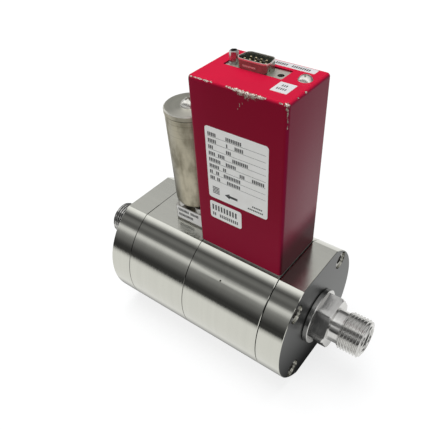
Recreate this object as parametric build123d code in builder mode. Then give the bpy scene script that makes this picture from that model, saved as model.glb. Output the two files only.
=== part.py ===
"""High-flow mass flow controller: a flatted steel bar body in four bolted blocks, a sheet-metal
cover over the flow sensor and its electronics, and a piezo control valve in its own can.

The gas flows along -X.  It enters the body at the +X end, passes the laminar flow element under
the cover and leaves past the valve at the -X end.  The origin is the centre of the bottom flat.
"""

from build123d import *
from math import asin, cos, radians, sin, sqrt
import os

os.makedirs("parts", exist_ok=True)

# ---------------------------------------------------------------- driving dimensions, millimetres

# Body bar
bar_radius = 40.0
flat_width = 36.0
body_length = 124.4
end_block_length = 15.4
valve_seam_x = -4.4
inlet_gap = 0.4
edge_break = 0.25

# Sheet-metal cover
cover_x = 21.2
cover_y = 0.65
cover_size = (52.2, 35.3, 96.9)
cover_sheet = 0.8
cover_bend = 1.7
base_plate_thickness = 1.6

# Nine-way D connector on the top, its long side along X
connector_x = 17.3
connector_y = 5.3
connector_hole_pitch = 25.0
pin_pitch = 2.77
pin_row_pitch = 2.84
pin_radius = 0.5

# Control valve
valve_x = -20.1
valve_base_size = (20.0, 18.4, 10.1)
can_bottom_rise = 14.0
can_top_rise = 72.5
can_bottom_radius = 12.1
can_top_radius = 13.3
can_wall = 1.0

# Tie bolts, M6 socket head
bolt_offset = 24.0
m6_radius = 3.0
m6_clearance_radius = 3.3
m6_head_radius = 5.0
m6_head_height = 6.0
counterbore_radius = 5.35
counterbore_depth = 7.0
m6_thread_depth = 12.0
m6_head_chamfer = 0.4

# Small screws
m3_radius = 1.5
m3_head_radius = 2.75
m3_head_height = 3.0
m4_radius = 2.0
m4_head_radius = 3.5
m4_head_height = 3.4
m4_head_chamfer = 0.3
m4_key = 1.5
m4_key_depth = 2.2
screw_tip_clearance = 1.0

# Gas way
passage_radius = 4.0
chamber_radius = 13.0
port_radius = 5.1
sensor_tap_offset = 13.0

# Base mounting holes, M5, drilled from the bottom flat
mount_spacing_x = 60.0
mount_spacing_y = 24.0
mount_hole_radius = 2.1
mount_hole_depth = 9.0

# ---------------------------------------------------------------- worked-out positions

axis_z = sqrt(bar_radius**2 - (flat_width / 2) ** 2)
flat_z = 2 * axis_z
outlet_end_x = -body_length / 2
inlet_end_x = body_length / 2
outlet_seam_x = outlet_end_x + end_block_length
inlet_seam_x = inlet_end_x - end_block_length

cover_bottom_z = flat_z + base_plate_thickness
cover_top_z = cover_bottom_z + cover_size[2]
cover_inner_z = cover_top_z - cover_sheet
cover_front_y = cover_y - cover_size[1] / 2

can_bottom_z = flat_z + can_bottom_rise
can_top_z = flat_z + can_top_rise
valve_base_top_z = flat_z + valve_base_size[2]


def station(x):
    """Plane across the bar at station x, with its centre on the bar's axis."""
    return Plane(origin=(x, 0, axis_z), x_dir=(0, 1, 0), z_dir=(1, 0, 0))


def draw_bar_section():
    """Round bar with a flat on its top and bottom, drawn in the open sketch."""
    Circle(bar_radius)
    Rectangle(2 * bar_radius, flat_z, mode=Mode.INTERSECT)


def draw_ring(outer_radius, inner_radius):
    """Flat ring, drawn in the open sketch."""
    Circle(outer_radius)
    Circle(inner_radius, mode=Mode.SUBTRACT)


def draw_d_outline(width, height, corner_radius):
    """D-shaped connector outline, its wide side towards -Y, drawn in the open sketch."""
    outline = Trapezoid(width, height, 80)
    fillet(outline.vertices(), corner_radius)


def draw_dome(x, z, radius, height):
    """Half outline of a domed screw head about the upright line at x, drawn in the open sketch."""
    ball_radius = (radius**2 + height**2) / (2 * height)
    half_angle = asin(radius / ball_radius) / 2
    shoulder = (x + ball_radius * sin(half_angle), z + height - ball_radius * (1 - cos(half_angle)))
    with BuildLine() as outline:
        Polyline((x, z + height), (x, z), (x + radius, z))
        ThreePointArc((x + radius, z), shoulder, (x, z + height))
    make_face(outline.edges())


def tie_bolt_places():
    """The four bolt centres on a plane across the bar."""
    return GridLocations(2 * bolt_offset, 2 * bolt_offset, 2, 2)


# ---------------------------------------------------------------- body blocks

block_seal_depth = 1.6
block_seal_outer = 8.4
block_seal_inner = 6.0
inlet_seal_outer = 17.0
inlet_seal_inner = 14.2
spigot_radius = 12.0
spigot_depth = 8.0
mount_x = mount_spacing_x / 2

with BuildPart() as outlet_end_block:
    with BuildSketch(station(outlet_end_x)):
        draw_bar_section()
    extrude(amount=end_block_length)
    chamfer(outlet_end_block.faces().filter_by(Axis.X).edges(), edge_break)
    with BuildSketch(station(outlet_end_x)):
        Circle(port_radius)
    extrude(amount=end_block_length, mode=Mode.SUBTRACT)
    with BuildSketch(station(outlet_end_x)):
        Circle(spigot_radius)
    extrude(amount=spigot_depth, mode=Mode.SUBTRACT)
    with BuildSketch(station(outlet_end_x)):
        with tie_bolt_places():
            Circle(m6_clearance_radius)
    extrude(amount=end_block_length, mode=Mode.SUBTRACT)
    with BuildSketch(station(outlet_end_x)):
        with tie_bolt_places():
            Circle(counterbore_radius)
    extrude(amount=counterbore_depth, mode=Mode.SUBTRACT)
outlet_end_block.part.label = "outlet_end_block"
export_step(outlet_end_block.part, "parts/outlet_end_block.step")

# The inlet end block stands off the sensor block by the gasket's gap.
with BuildPart() as inlet_end_block:
    with BuildSketch(station(inlet_seam_x + inlet_gap)):
        draw_bar_section()
    extrude(amount=end_block_length - inlet_gap)
    chamfer(inlet_end_block.faces().filter_by(Axis.X).edges(), edge_break)
    with BuildSketch(station(inlet_seam_x)):
        Circle(port_radius)
    extrude(amount=end_block_length, mode=Mode.SUBTRACT)
    with BuildSketch(station(inlet_end_x)):
        Circle(spigot_radius)
    extrude(amount=-spigot_depth, mode=Mode.SUBTRACT)
    with BuildSketch(station(inlet_end_x)):
        with tie_bolt_places():
            Circle(m6_clearance_radius)
    extrude(amount=-end_block_length, mode=Mode.SUBTRACT)
    with BuildSketch(station(inlet_end_x)):
        with tie_bolt_places():
            Circle(counterbore_radius)
    extrude(amount=-counterbore_depth, mode=Mode.SUBTRACT)
inlet_end_block.part.label = "inlet_end_block"
export_step(inlet_end_block.part, "parts/inlet_end_block.step")

# The valve block takes the threads of all eight tie bolts.  The gas rises from its inlet passage to
# a ring groove under the seat, passes the diaphragm and drops through the seat to the outlet.
thread_hole_depth = m6_thread_depth + 2.0
seat_radius = 5.6
seat_pocket_depth = 6.0
seat_thickness = 3.0
groove_outer = 5.0
groove_inner = 2.8
groove_depth = 2.0
seat_bore_radius = 1.5
riser_radius = 1.0
riser_x = valve_x + (groove_outer + groove_inner) / 2
valve_screw_x = 6.4
valve_screw_y = 5.6
valve_screw_depth = 8.0
seat_floor_z = flat_z - seat_pocket_depth

with BuildPart() as valve_block:
    with BuildSketch(station(outlet_seam_x)):
        draw_bar_section()
    extrude(amount=valve_seam_x - outlet_seam_x)
    chamfer(valve_block.faces().filter_by(Axis.X).edges(), edge_break)
    with BuildSketch(station(outlet_seam_x)):
        Circle(port_radius)
    extrude(amount=valve_x - outlet_seam_x, mode=Mode.SUBTRACT)
    with BuildSketch(station(valve_seam_x)):
        Circle(passage_radius)
    extrude(amount=riser_x - valve_seam_x, mode=Mode.SUBTRACT)
    with BuildSketch(Plane.XY.offset(flat_z)):
        with Locations((valve_x, 0)):
            Circle(seat_radius)
    extrude(amount=-seat_pocket_depth, mode=Mode.SUBTRACT)
    with BuildSketch(Plane.XY.offset(seat_floor_z)):
        with Locations((valve_x, 0)):
            draw_ring(groove_outer, groove_inner)
    extrude(amount=-groove_depth, mode=Mode.SUBTRACT)
    with BuildSketch(Plane.XY.offset(seat_floor_z)):
        with Locations((valve_x, 0)):
            Circle(seat_bore_radius)
        with Locations((riser_x, 0)):
            Circle(riser_radius)
    extrude(amount=axis_z - seat_floor_z, mode=Mode.SUBTRACT)
    with BuildSketch(Plane.XY.offset(flat_z)):
        with Locations((valve_x, 0)):
            with GridLocations(2 * valve_screw_x, 2 * valve_screw_y, 2, 2):
                Circle(m4_radius)
    extrude(amount=-valve_screw_depth, mode=Mode.SUBTRACT)
    with BuildSketch(station(outlet_seam_x)):
        draw_ring(block_seal_outer, block_seal_inner)
    extrude(amount=block_seal_depth, mode=Mode.SUBTRACT)
    with BuildSketch(station(outlet_seam_x), station(valve_seam_x - thread_hole_depth)):
        with tie_bolt_places():
            Circle(m6_radius)
    extrude(amount=thread_hole_depth, mode=Mode.SUBTRACT)
    with BuildSketch(Plane.XY):
        with Locations((-mount_x, -mount_spacing_y / 2), (-mount_x, mount_spacing_y / 2)):
            Circle(mount_hole_radius)
    extrude(amount=mount_hole_depth, mode=Mode.SUBTRACT)
valve_block.part.label = "valve_block"
export_step(valve_block.part, "parts/valve_block.step")

# The sensor block holds the flow element's chamber, with a sensor tap before and after the element.
chamber_end_x = 6.5
inlet_seal_depth = 1.8
base_screw_x = 21.0
base_screw_y = 12.7
sensor_screw_x = 8.0
sensor_screw_y = 8.0
small_screw_depth = 8.0
tap_radius = 1.0
leak_port_angle = radians(42.2)
leak_port_x = 17.4
leak_port_radius = 0.6
leak_port_depth = 1.5
leak_port_plane = Plane(
    origin=(leak_port_x, -bar_radius * cos(leak_port_angle), axis_z + bar_radius * sin(leak_port_angle)),
    x_dir=(1, 0, 0),
    z_dir=(0, -cos(leak_port_angle), sin(leak_port_angle)),
)

with BuildPart() as sensor_block:
    with BuildSketch(station(valve_seam_x)):
        draw_bar_section()
    extrude(amount=inlet_seam_x - valve_seam_x)
    chamfer(sensor_block.faces().filter_by(Axis.X).edges(), edge_break)
    with BuildSketch(station(chamber_end_x)):
        Circle(chamber_radius)
    extrude(amount=inlet_seam_x - chamber_end_x, mode=Mode.SUBTRACT)
    with BuildSketch(station(valve_seam_x)):
        Circle(passage_radius)
    extrude(amount=chamber_end_x - valve_seam_x, mode=Mode.SUBTRACT)
    with BuildSketch(station(valve_seam_x)):
        draw_ring(block_seal_outer, block_seal_inner)
    extrude(amount=block_seal_depth, mode=Mode.SUBTRACT)
    with BuildSketch(station(inlet_seam_x)):
        draw_ring(inlet_seal_outer, inlet_seal_inner)
    extrude(amount=-inlet_seal_depth, mode=Mode.SUBTRACT)
    with BuildSketch(station(valve_seam_x)):
        with tie_bolt_places():
            Circle(m6_clearance_radius)
    extrude(amount=inlet_seam_x - valve_seam_x, mode=Mode.SUBTRACT)
    with BuildSketch(Plane.XY.offset(flat_z)):
        with Locations((cover_x - sensor_tap_offset, 0), (cover_x + sensor_tap_offset, 0)):
            Circle(tap_radius)
    extrude(amount=axis_z - flat_z, mode=Mode.SUBTRACT)
    with BuildSketch(Plane.XY.offset(flat_z)):
        with Locations((cover_x, 0)):
            with GridLocations(2 * sensor_screw_x, 2 * sensor_screw_y, 2, 2):
                Circle(m3_radius)
            with GridLocations(2 * base_screw_x, 2 * base_screw_y, 2, 2):
                Circle(m3_radius)
    extrude(amount=-small_screw_depth, mode=Mode.SUBTRACT)
    with BuildSketch(Plane.XY):
        with Locations((mount_x, -mount_spacing_y / 2), (mount_x, mount_spacing_y / 2)):
            Circle(mount_hole_radius)
    extrude(amount=mount_hole_depth, mode=Mode.SUBTRACT)
    with BuildSketch(leak_port_plane):
        Circle(leak_port_radius)
    extrude(amount=-leak_port_depth, mode=Mode.SUBTRACT)
sensor_block.part.label = "sensor_block"
export_step(sensor_block.part, "parts/sensor_block.step")

# ---------------------------------------------------------------- block seals

with BuildPart() as outlet_block_seal:
    with BuildSketch(station(outlet_seam_x)):
        draw_ring(block_seal_outer, block_seal_inner)
    extrude(amount=block_seal_depth)
outlet_block_seal.part.label = "outlet_block_seal"
export_step(outlet_block_seal.part, "parts/outlet_block_seal.step")

with BuildPart() as centre_block_seal:
    with BuildSketch(station(valve_seam_x)):
        draw_ring(block_seal_outer, block_seal_inner)
    extrude(amount=block_seal_depth)
centre_block_seal.part.label = "centre_block_seal"
export_step(centre_block_seal.part, "parts/centre_block_seal.step")

with BuildPart() as inlet_block_seal:
    with BuildSketch(station(inlet_seam_x - inlet_seal_depth)):
        draw_ring(inlet_seal_outer, inlet_seal_inner)
    extrude(amount=inlet_seal_depth + inlet_gap)
inlet_block_seal.part.label = "inlet_block_seal"
export_step(inlet_block_seal.part, "parts/inlet_block_seal.step")

# ---------------------------------------------------------------- tie bolts

# Four long bolts run from the inlet end through the sensor block into the valve block.
m6_key = 2.5
m6_key_depth = 3.2
inlet_seat_x = inlet_end_x - counterbore_depth
outlet_seat_x = outlet_end_x + counterbore_depth

with BuildPart() as inlet_tie_bolts:
    with BuildSketch(station(inlet_seat_x)):
        with tie_bolt_places():
            Circle(m6_head_radius)
    extrude(amount=m6_head_height)
    chamfer(inlet_tie_bolts.faces().sort_by(Axis.X)[-4:].edges(), m6_head_chamfer)
    with BuildSketch(station(inlet_seat_x)):
        with tie_bolt_places():
            Circle(m6_radius)
    extrude(amount=valve_seam_x - m6_thread_depth - inlet_seat_x)
    with BuildSketch(station(inlet_seat_x + m6_head_height)):
        with tie_bolt_places():
            RegularPolygon(m6_key, 6, major_radius=False)
    extrude(amount=-m6_key_depth, mode=Mode.SUBTRACT)
inlet_tie_bolts.part.label = "inlet_tie_bolts"
export_step(inlet_tie_bolts.part, "parts/inlet_tie_bolts.step")

with BuildPart() as outlet_end_bolts:
    with BuildSketch(station(outlet_seat_x)):
        with tie_bolt_places():
            Circle(m6_head_radius)
    extrude(amount=-m6_head_height)
    chamfer(outlet_end_bolts.faces().sort_by(Axis.X)[:4].edges(), m6_head_chamfer)
    with BuildSketch(station(outlet_seat_x)):
        with tie_bolt_places():
            Circle(m6_radius)
    extrude(amount=outlet_seam_x + m6_thread_depth - outlet_seat_x)
    with BuildSketch(station(outlet_seat_x - m6_head_height)):
        with tie_bolt_places():
            RegularPolygon(m6_key, 6, major_radius=False)
    extrude(amount=m6_key_depth, mode=Mode.SUBTRACT)
outlet_end_bolts.part.label = "outlet_end_bolts"
export_step(outlet_end_bolts.part, "parts/outlet_end_bolts.step")

# ---------------------------------------------------------------- gas fittings

# Half-inch metal-gasket face-seal fitting: a spigot in the end block, a boss, a 27 mm hexagon, a
# neck, a 7/8 inch male thread and a rounded sealing bead round the bore.
boss_radius = 16.5
boss_length = 3.2
hexagon_radius = 13.5
hexagon_length = 9.0
neck_radius = 9.5
neck_length = 5.6
gas_thread_radius = 11.1
gas_thread_length = 13.0
gas_thread_chamfer = 1.0
hexagon_chamfer = 0.8
boss_chamfer = 0.6
bead_path_radius = 7.6
bead_radius = 0.8
boss_end_x = inlet_end_x + boss_length
hexagon_end_x = boss_end_x + hexagon_length
neck_end_x = hexagon_end_x + neck_length
thread_end_x = neck_end_x + gas_thread_length

with BuildPart() as inlet_fitting:
    with BuildSketch(station(boss_end_x)):
        RegularPolygon(hexagon_radius, 6, major_radius=False, rotation=30)
    extrude(amount=hexagon_length)
    chamfer(inlet_fitting.faces().sort_by(Axis.X)[-1].edges(), hexagon_chamfer)
    with BuildSketch(station(neck_end_x)):
        Circle(gas_thread_radius)
    extrude(amount=gas_thread_length)
    chamfer(inlet_fitting.edges().filter_by(GeomType.CIRCLE), gas_thread_chamfer)
    with BuildSketch(station(hexagon_end_x)):
        Circle(neck_radius)
    extrude(amount=neck_length)
    with BuildSketch(station(inlet_end_x)):
        Circle(boss_radius)
    extrude(amount=boss_length)
    chamfer(inlet_fitting.faces().sort_by(Axis.X)[0].edges(), boss_chamfer)
    with BuildSketch(station(inlet_end_x - spigot_depth)):
        Circle(spigot_radius)
    extrude(amount=spigot_depth)
    with BuildSketch(Plane.XZ):
        with Locations((thread_end_x, axis_z + bead_path_radius)):
            Circle(bead_radius)
    revolve(axis=Axis((0, 0, axis_z), (1, 0, 0)))
    with BuildSketch(station(inlet_end_x - spigot_depth)):
        Circle(port_radius)
    extrude(amount=thread_end_x - inlet_end_x + spigot_depth, mode=Mode.SUBTRACT)
inlet_fitting.part.label = "inlet_fitting"
export_step(inlet_fitting.part, "parts/inlet_fitting.step")

with BuildPart() as outlet_fitting:
    mirror(inlet_fitting.part, about=Plane.YZ)
outlet_fitting.part.label = "outlet_fitting"
export_step(outlet_fitting.part, "parts/outlet_fitting.step")

# ---------------------------------------------------------------- flow element

filter_x = 42.4
filter_thickness = 3.0
element_start_x = 11.5
element_length = 20.5
element_hole_radius = 1.4
element_hole_rings = ((1, 0.0), (6, 4.6), (12, 9.2))

with BuildPart() as inlet_filter:
    with BuildSketch(station(filter_x)):
        Circle(chamber_radius)
    extrude(amount=filter_thickness)
inlet_filter.part.label = "inlet_filter"
export_step(inlet_filter.part, "parts/inlet_filter.step")

with BuildPart() as laminar_flow_element:
    with BuildSketch(station(element_start_x)):
        Circle(chamber_radius)
        for hole_count, ring_radius in element_hole_rings:
            with PolarLocations(ring_radius, hole_count):
                Circle(element_hole_radius, mode=Mode.SUBTRACT)
    extrude(amount=element_length)
laminar_flow_element.part.label = "laminar_flow_element"
export_step(laminar_flow_element.part, "parts/laminar_flow_element.step")

# ---------------------------------------------------------------- flow sensor under the cover

sensor_base_size = (36.0, 22.0, 8.0)
sensor_base_corner = 1.5
sensor_base_top_z = flat_z + sensor_base_size[2]
seal_radius = 2.6
seal_bore = 1.1
seal_height = 1.4
tube_radius = 0.6
tube_bend_radius = 3.0
tube_rise = 16.0
tube_start_rise = 2.0
tube_start_z = flat_z + tube_start_rise
winding_radius = 1.5
winding_length = 5.0
winding_offset = 3.4
case_size = (32.0, 9.0, 21.0)
case_wall = 1.0
case_corner = 1.5

with BuildPart() as sensor_base:
    with BuildSketch(Plane.XY.offset(flat_z)):
        with Locations((cover_x, 0)):
            RectangleRounded(sensor_base_size[0], sensor_base_size[1], sensor_base_corner)
            with GridLocations(2 * sensor_screw_x, 2 * sensor_screw_y, 2, 2):
                Circle(m3_radius, mode=Mode.SUBTRACT)
    extrude(amount=sensor_base_size[2])
    with BuildSketch(Plane.XY.offset(flat_z)):
        with Locations((cover_x - sensor_tap_offset, 0), (cover_x + sensor_tap_offset, 0)):
            Circle(seal_radius)
    extrude(amount=seal_height, mode=Mode.SUBTRACT)
    with BuildSketch(Plane.XY.offset(flat_z)):
        with Locations((cover_x - sensor_tap_offset, 0), (cover_x + sensor_tap_offset, 0)):
            Circle(tube_radius)
    extrude(amount=sensor_base_size[2], mode=Mode.SUBTRACT)
sensor_base.part.label = "sensor_base"
export_step(sensor_base.part, "parts/sensor_base.step")

with BuildPart() as sensor_port_seals:
    with BuildSketch(Plane.XY.offset(flat_z)):
        with Locations((cover_x - sensor_tap_offset, 0), (cover_x + sensor_tap_offset, 0)):
            draw_ring(seal_radius, seal_bore)
    extrude(amount=seal_height)
sensor_port_seals.part.label = "sensor_port_seals"
export_step(sensor_port_seals.part, "parts/sensor_port_seals.step")

with BuildPart() as sensor_base_screws:
    with BuildSketch(Plane.XY.offset(sensor_base_top_z)):
        with Locations((cover_x, 0)):
            with GridLocations(2 * sensor_screw_x, 2 * sensor_screw_y, 2, 2):
                Circle(m3_head_radius)
    extrude(amount=m3_head_height)
    with BuildSketch(Plane.XY.offset(sensor_base_top_z)):
        with Locations((cover_x, 0)):
            with GridLocations(2 * sensor_screw_x, 2 * sensor_screw_y, 2, 2):
                Circle(m3_radius)
    extrude(amount=-sensor_base_size[2] - small_screw_depth + screw_tip_clearance)
sensor_base_screws.part.label = "sensor_base_screws"
export_step(sensor_base_screws.part, "parts/sensor_base_screws.step")

# The capillary leaves one tap, carries the two heater windings and comes back to the other tap.
with BuildPart() as sensor_tube:
    with BuildLine() as tube_path:
        FilletPolyline(
            (cover_x - sensor_tap_offset, 0, tube_start_z),
            (cover_x - sensor_tap_offset, 0, sensor_base_top_z + tube_rise),
            (cover_x + sensor_tap_offset, 0, sensor_base_top_z + tube_rise),
            (cover_x + sensor_tap_offset, 0, tube_start_z),
            radius=tube_bend_radius,
        )
    with BuildSketch(Plane.XY.offset(tube_start_z)):
        with Locations((cover_x - sensor_tap_offset, 0)):
            Circle(tube_radius)
    sweep()
sensor_tube.part.label = "sensor_tube"
export_step(sensor_tube.part, "parts/sensor_tube.step")

with BuildPart() as sensor_windings:
    for side in (-1, 1):
        winding_plane = Plane(
            origin=(cover_x + side * winding_offset - winding_length / 2, 0, sensor_base_top_z + tube_rise),
            z_dir=(1, 0, 0),
        )
        with BuildSketch(winding_plane):
            draw_ring(winding_radius, tube_radius)
        extrude(amount=winding_length)
sensor_windings.part.label = "sensor_windings"
export_step(sensor_windings.part, "parts/sensor_windings.step")

with BuildPart() as sensor_case:
    with BuildSketch(Plane.XY.offset(sensor_base_top_z)):
        with Locations((cover_x, 0)):
            Rectangle(case_size[0], case_size[1])
    extrude(amount=case_size[2])
    fillet(sensor_case.edges().filter_by(Axis.Z), case_corner)
    offset(amount=-case_wall, openings=sensor_case.faces().sort_by(Axis.Z)[0])
sensor_case.part.label = "sensor_case"
export_step(sensor_case.part, "parts/sensor_case.step")

# ---------------------------------------------------------------- base plate and inner bracket

base_plate_inset = 0.5
base_window_margin = 0.2
base_plate_corner = 1.0
bracket_sheet = 1.2
bracket_x = 44.2
bracket_width = 24.0
bracket_foot_length = 5.0
bracket_foot_screw_x = 41.9
bracket_foot_screw_y = 5.0
bracket_outer_bend = 1.6
m25_radius = 1.25
m25_head_radius = 2.2
m25_head_height = 1.6
head_relief = (0.4, 1.0)
flange_thickness = 0.8
bracket_top_z = cover_inner_z - flange_thickness
bracket_left_x = -1.0

with BuildPart() as base_plate:
    with BuildSketch(Plane.XY.offset(flat_z)):
        with Locations((cover_x, cover_y)):
            RectangleRounded(
                cover_size[0] - 2 * base_plate_inset,
                cover_size[1] - 2 * base_plate_inset,
                base_plate_corner,
            )
        with Locations((cover_x, 0)):
            Rectangle(
                sensor_base_size[0] + 2 * base_window_margin,
                sensor_base_size[1] + 2 * base_window_margin,
                mode=Mode.SUBTRACT,
            )
            with GridLocations(2 * base_screw_x, 2 * base_screw_y, 2, 2):
                Circle(m3_radius, mode=Mode.SUBTRACT)
        with Locations(
            (bracket_foot_screw_x, -bracket_foot_screw_y),
            (bracket_foot_screw_x, bracket_foot_screw_y),
        ):
            Circle(m25_radius, mode=Mode.SUBTRACT)
    extrude(amount=base_plate_thickness)
base_plate.part.label = "base_plate"
export_step(base_plate.part, "parts/base_plate.step")

with BuildPart() as base_plate_screws:
    with BuildSketch(Plane.XY.offset(cover_bottom_z)):
        with Locations((cover_x, 0)):
            with GridLocations(2 * base_screw_x, 2 * base_screw_y, 2, 2):
                Circle(m3_head_radius)
    extrude(amount=m3_head_height)
    with BuildSketch(Plane.XY.offset(cover_bottom_z)):
        with Locations((cover_x, 0)):
            with GridLocations(2 * base_screw_x, 2 * base_screw_y, 2, 2):
                Circle(m3_radius)
    extrude(amount=-base_plate_thickness - small_screw_depth + screw_tip_clearance)
base_plate_screws.part.label = "base_plate_screws"
export_step(base_plate_screws.part, "parts/base_plate_screws.step")

# One folded sheet: a foot on the base plate, an upright beside the cover's end wall and a shelf
# under the cover's top, which carries the connector and the cover's screw.
jackscrew_x = connector_x - connector_hole_pitch / 2
empty_hole_x = connector_x + connector_hole_pitch / 2
jackscrew_stud_radius = 1.4
cover_screw_x = 41.4
cover_screw_y = 6.0
cover_nut_radius = 2.4
cover_nut_flange_radius = 3.2
cover_nut_depth = 3.0
plug_width = 17.8
plug_height = 9.2
plug_corner = 2.8
plug_sheet = 0.45
plug_clearance = 1.2

with BuildPart() as inner_bracket:
    with BuildSketch(Plane.XZ.offset(-bracket_width / 2)):
        with BuildLine():
            Polyline(
                (bracket_x + bracket_sheet - bracket_foot_length, cover_bottom_z),
                (bracket_x + bracket_sheet, cover_bottom_z),
                (bracket_x + bracket_sheet, bracket_top_z),
                (bracket_left_x, bracket_top_z),
                (bracket_left_x, bracket_top_z - bracket_sheet),
                (bracket_x, bracket_top_z - bracket_sheet),
                (bracket_x, cover_bottom_z + bracket_sheet),
                (bracket_x + bracket_sheet - bracket_foot_length, cover_bottom_z + bracket_sheet),
                close=True,
            )
        make_face()
    extrude(amount=bracket_width)
    outer_bends = inner_bracket.edges().filter_by(Axis.Y).group_by(Axis.X)[-1]
    fillet(outer_bends, bracket_outer_bend)
    with BuildSketch(Plane.XY.offset(bracket_top_z)):
        with Locations((connector_x, connector_y)):
            Rectangle(plug_width + 2 * plug_clearance, plug_height + 2 * plug_clearance)
        with Locations((jackscrew_x, connector_y), (empty_hole_x, connector_y)):
            Circle(jackscrew_stud_radius)
        with Locations((cover_screw_x, cover_screw_y)):
            Circle(cover_nut_radius)
    extrude(amount=-bracket_sheet, mode=Mode.SUBTRACT)
    with BuildSketch(Plane.XY.offset(cover_bottom_z)):
        with Locations(
            (bracket_foot_screw_x, -bracket_foot_screw_y),
            (bracket_foot_screw_x, bracket_foot_screw_y),
        ):
            Circle(m25_radius)
    extrude(amount=bracket_sheet, mode=Mode.SUBTRACT)
    with BuildSketch(Plane.XY.offset(cover_bottom_z)):
        with Locations((cover_x, 0)):
            with GridLocations(2 * base_screw_x, 2 * base_screw_y, 2, 2):
                Circle(m3_head_radius + head_relief[0])
    extrude(amount=m3_head_height + head_relief[1], mode=Mode.SUBTRACT)
inner_bracket.part.label = "inner_bracket"
export_step(inner_bracket.part, "parts/inner_bracket.step")

with BuildPart() as bracket_screws:
    with BuildSketch(Plane.XY.offset(cover_bottom_z + bracket_sheet)):
        with Locations(
            (bracket_foot_screw_x, -bracket_foot_screw_y),
            (bracket_foot_screw_x, bracket_foot_screw_y),
        ):
            Circle(m25_head_radius)
    extrude(amount=m25_head_height)
    with BuildSketch(Plane.XY.offset(cover_bottom_z + bracket_sheet)):
        with Locations(
            (bracket_foot_screw_x, -bracket_foot_screw_y),
            (bracket_foot_screw_x, bracket_foot_screw_y),
        ):
            Circle(m25_radius)
    extrude(amount=-bracket_sheet - base_plate_thickness)
bracket_screws.part.label = "bracket_screws"
export_step(bracket_screws.part, "parts/bracket_screws.step")

# Clinch nut in the shelf, standing up to the underside of the cover.
with BuildPart() as cover_nut:
    with BuildSketch(Plane.XY.offset(bracket_top_z)):
        with Locations((cover_screw_x, cover_screw_y)):
            draw_ring(cover_nut_flange_radius, m3_radius)
    extrude(amount=cover_inner_z - bracket_top_z)
    with BuildSketch(Plane.XY.offset(bracket_top_z)):
        with Locations((cover_screw_x, cover_screw_y)):
            draw_ring(cover_nut_radius, m3_radius)
    extrude(amount=-cover_nut_depth)
cover_nut.part.label = "cover_nut"
export_step(cover_nut.part, "parts/cover_nut.step")

# ---------------------------------------------------------------- circuit boards

board_thickness = 1.6
main_board_x = 38.0
main_board_width = 26.0
main_board_rise = 13.0
main_board_bottom_z = flat_z + main_board_rise
main_board_height = 74.0
spacer_radius = 2.5
spacer_y = 9.0
spacer_z = 29.0
main_board_centre_z = main_board_bottom_z + main_board_height / 2
connector_board_size = (36.0, 20.0)
connector_board_x = 18.0
connector_board_y = 4.0
connector_board_drop = 7.6
connector_board_top_z = bracket_top_z - connector_board_drop
header_size = (6.0, 16.0, 5.0)
header_x = main_board_x - header_size[0] / 2
board_face = Plane(origin=(main_board_x, 0, main_board_centre_z), x_dir=(0, -1, 0), z_dir=(-1, 0, 0))

with BuildPart() as main_circuit_board:
    with BuildSketch(board_face):
        Rectangle(main_board_width, main_board_height)
        with GridLocations(2 * spacer_y, 2 * spacer_z, 2, 2):
            Circle(m25_radius, mode=Mode.SUBTRACT)
    extrude(amount=-board_thickness)
main_circuit_board.part.label = "main_circuit_board"
export_step(main_circuit_board.part, "parts/main_circuit_board.step")

with BuildPart() as board_spacers:
    with BuildSketch(board_face.offset(-board_thickness)):
        with GridLocations(2 * spacer_y, 2 * spacer_z, 2, 2):
            Circle(spacer_radius)
    extrude(amount=main_board_x + board_thickness - bracket_x)
    with BuildSketch(board_face.offset(-board_thickness)):
        with GridLocations(2 * spacer_y, 2 * spacer_z, 2, 2):
            Circle(m25_radius)
    extrude(amount=board_thickness)
    with BuildSketch(board_face):
        with GridLocations(2 * spacer_y, 2 * spacer_z, 2, 2):
            Circle(m25_head_radius)
    extrude(amount=m25_head_height)
board_spacers.part.label = "board_spacers"
export_step(board_spacers.part, "parts/board_spacers.step")

# Components on the board, each as its place across and up the board, its width, height and rise.
component_sizes = (
    (0.0, 12.5, 14.0, 14.0, 1.8),
    (-4.0, -6.0, 10.0, 7.0, 2.0),
    (7.0, -6.0, 6.0, 5.0, 1.6),
    (9.0, -17.0, 7.0, 16.0, 4.5),
    (-8.5, 0.5, 4.0, 3.0, 1.2),
    (6.0, 2.5, 4.0, 2.5, 1.2),
)
trimmer_places = ((-6.0, 23.0), (4.0, 23.0))
trimmer_size = (6.5, 4.5, 5.0)

with BuildPart() as board_components:
    for across, up, width, height, rise in component_sizes:
        with BuildSketch(board_face):
            with Locations((across, up)):
                Rectangle(width, height)
        extrude(amount=rise)
    with BuildSketch(board_face):
        with Locations(*trimmer_places):
            Rectangle(trimmer_size[0], trimmer_size[1])
    extrude(amount=trimmer_size[2])
board_components.part.label = "board_components"
export_step(board_components.part, "parts/board_components.step")

# ---------------------------------------------------------------- nine-way connector

flange_size = (30.8, 12.5)
flange_corner = 1.2
flange_hole_radius = 1.55
plug_rise = 4.5
pin_recess = 0.7
pin_tail = 1.2
pin_tip_chamfer = 0.2
insulator_rise = 1.0
insulator_rim = 1.0
plug_top_z = cover_top_z + plug_rise
insulator_floor_z = cover_inner_z + insulator_rise
pin_top_z = plug_top_z - pin_recess
pin_bottom_z = connector_board_top_z - board_thickness - pin_tail
front_row = [(pin_pitch * (place - 2), -pin_row_pitch / 2) for place in range(5)]
back_row = [(pin_pitch * (place - 1.5), pin_row_pitch / 2) for place in range(4)]
pin_places = front_row + back_row
connector_plane = Plane.XY.move(Location((connector_x, connector_y, 0)))

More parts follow.
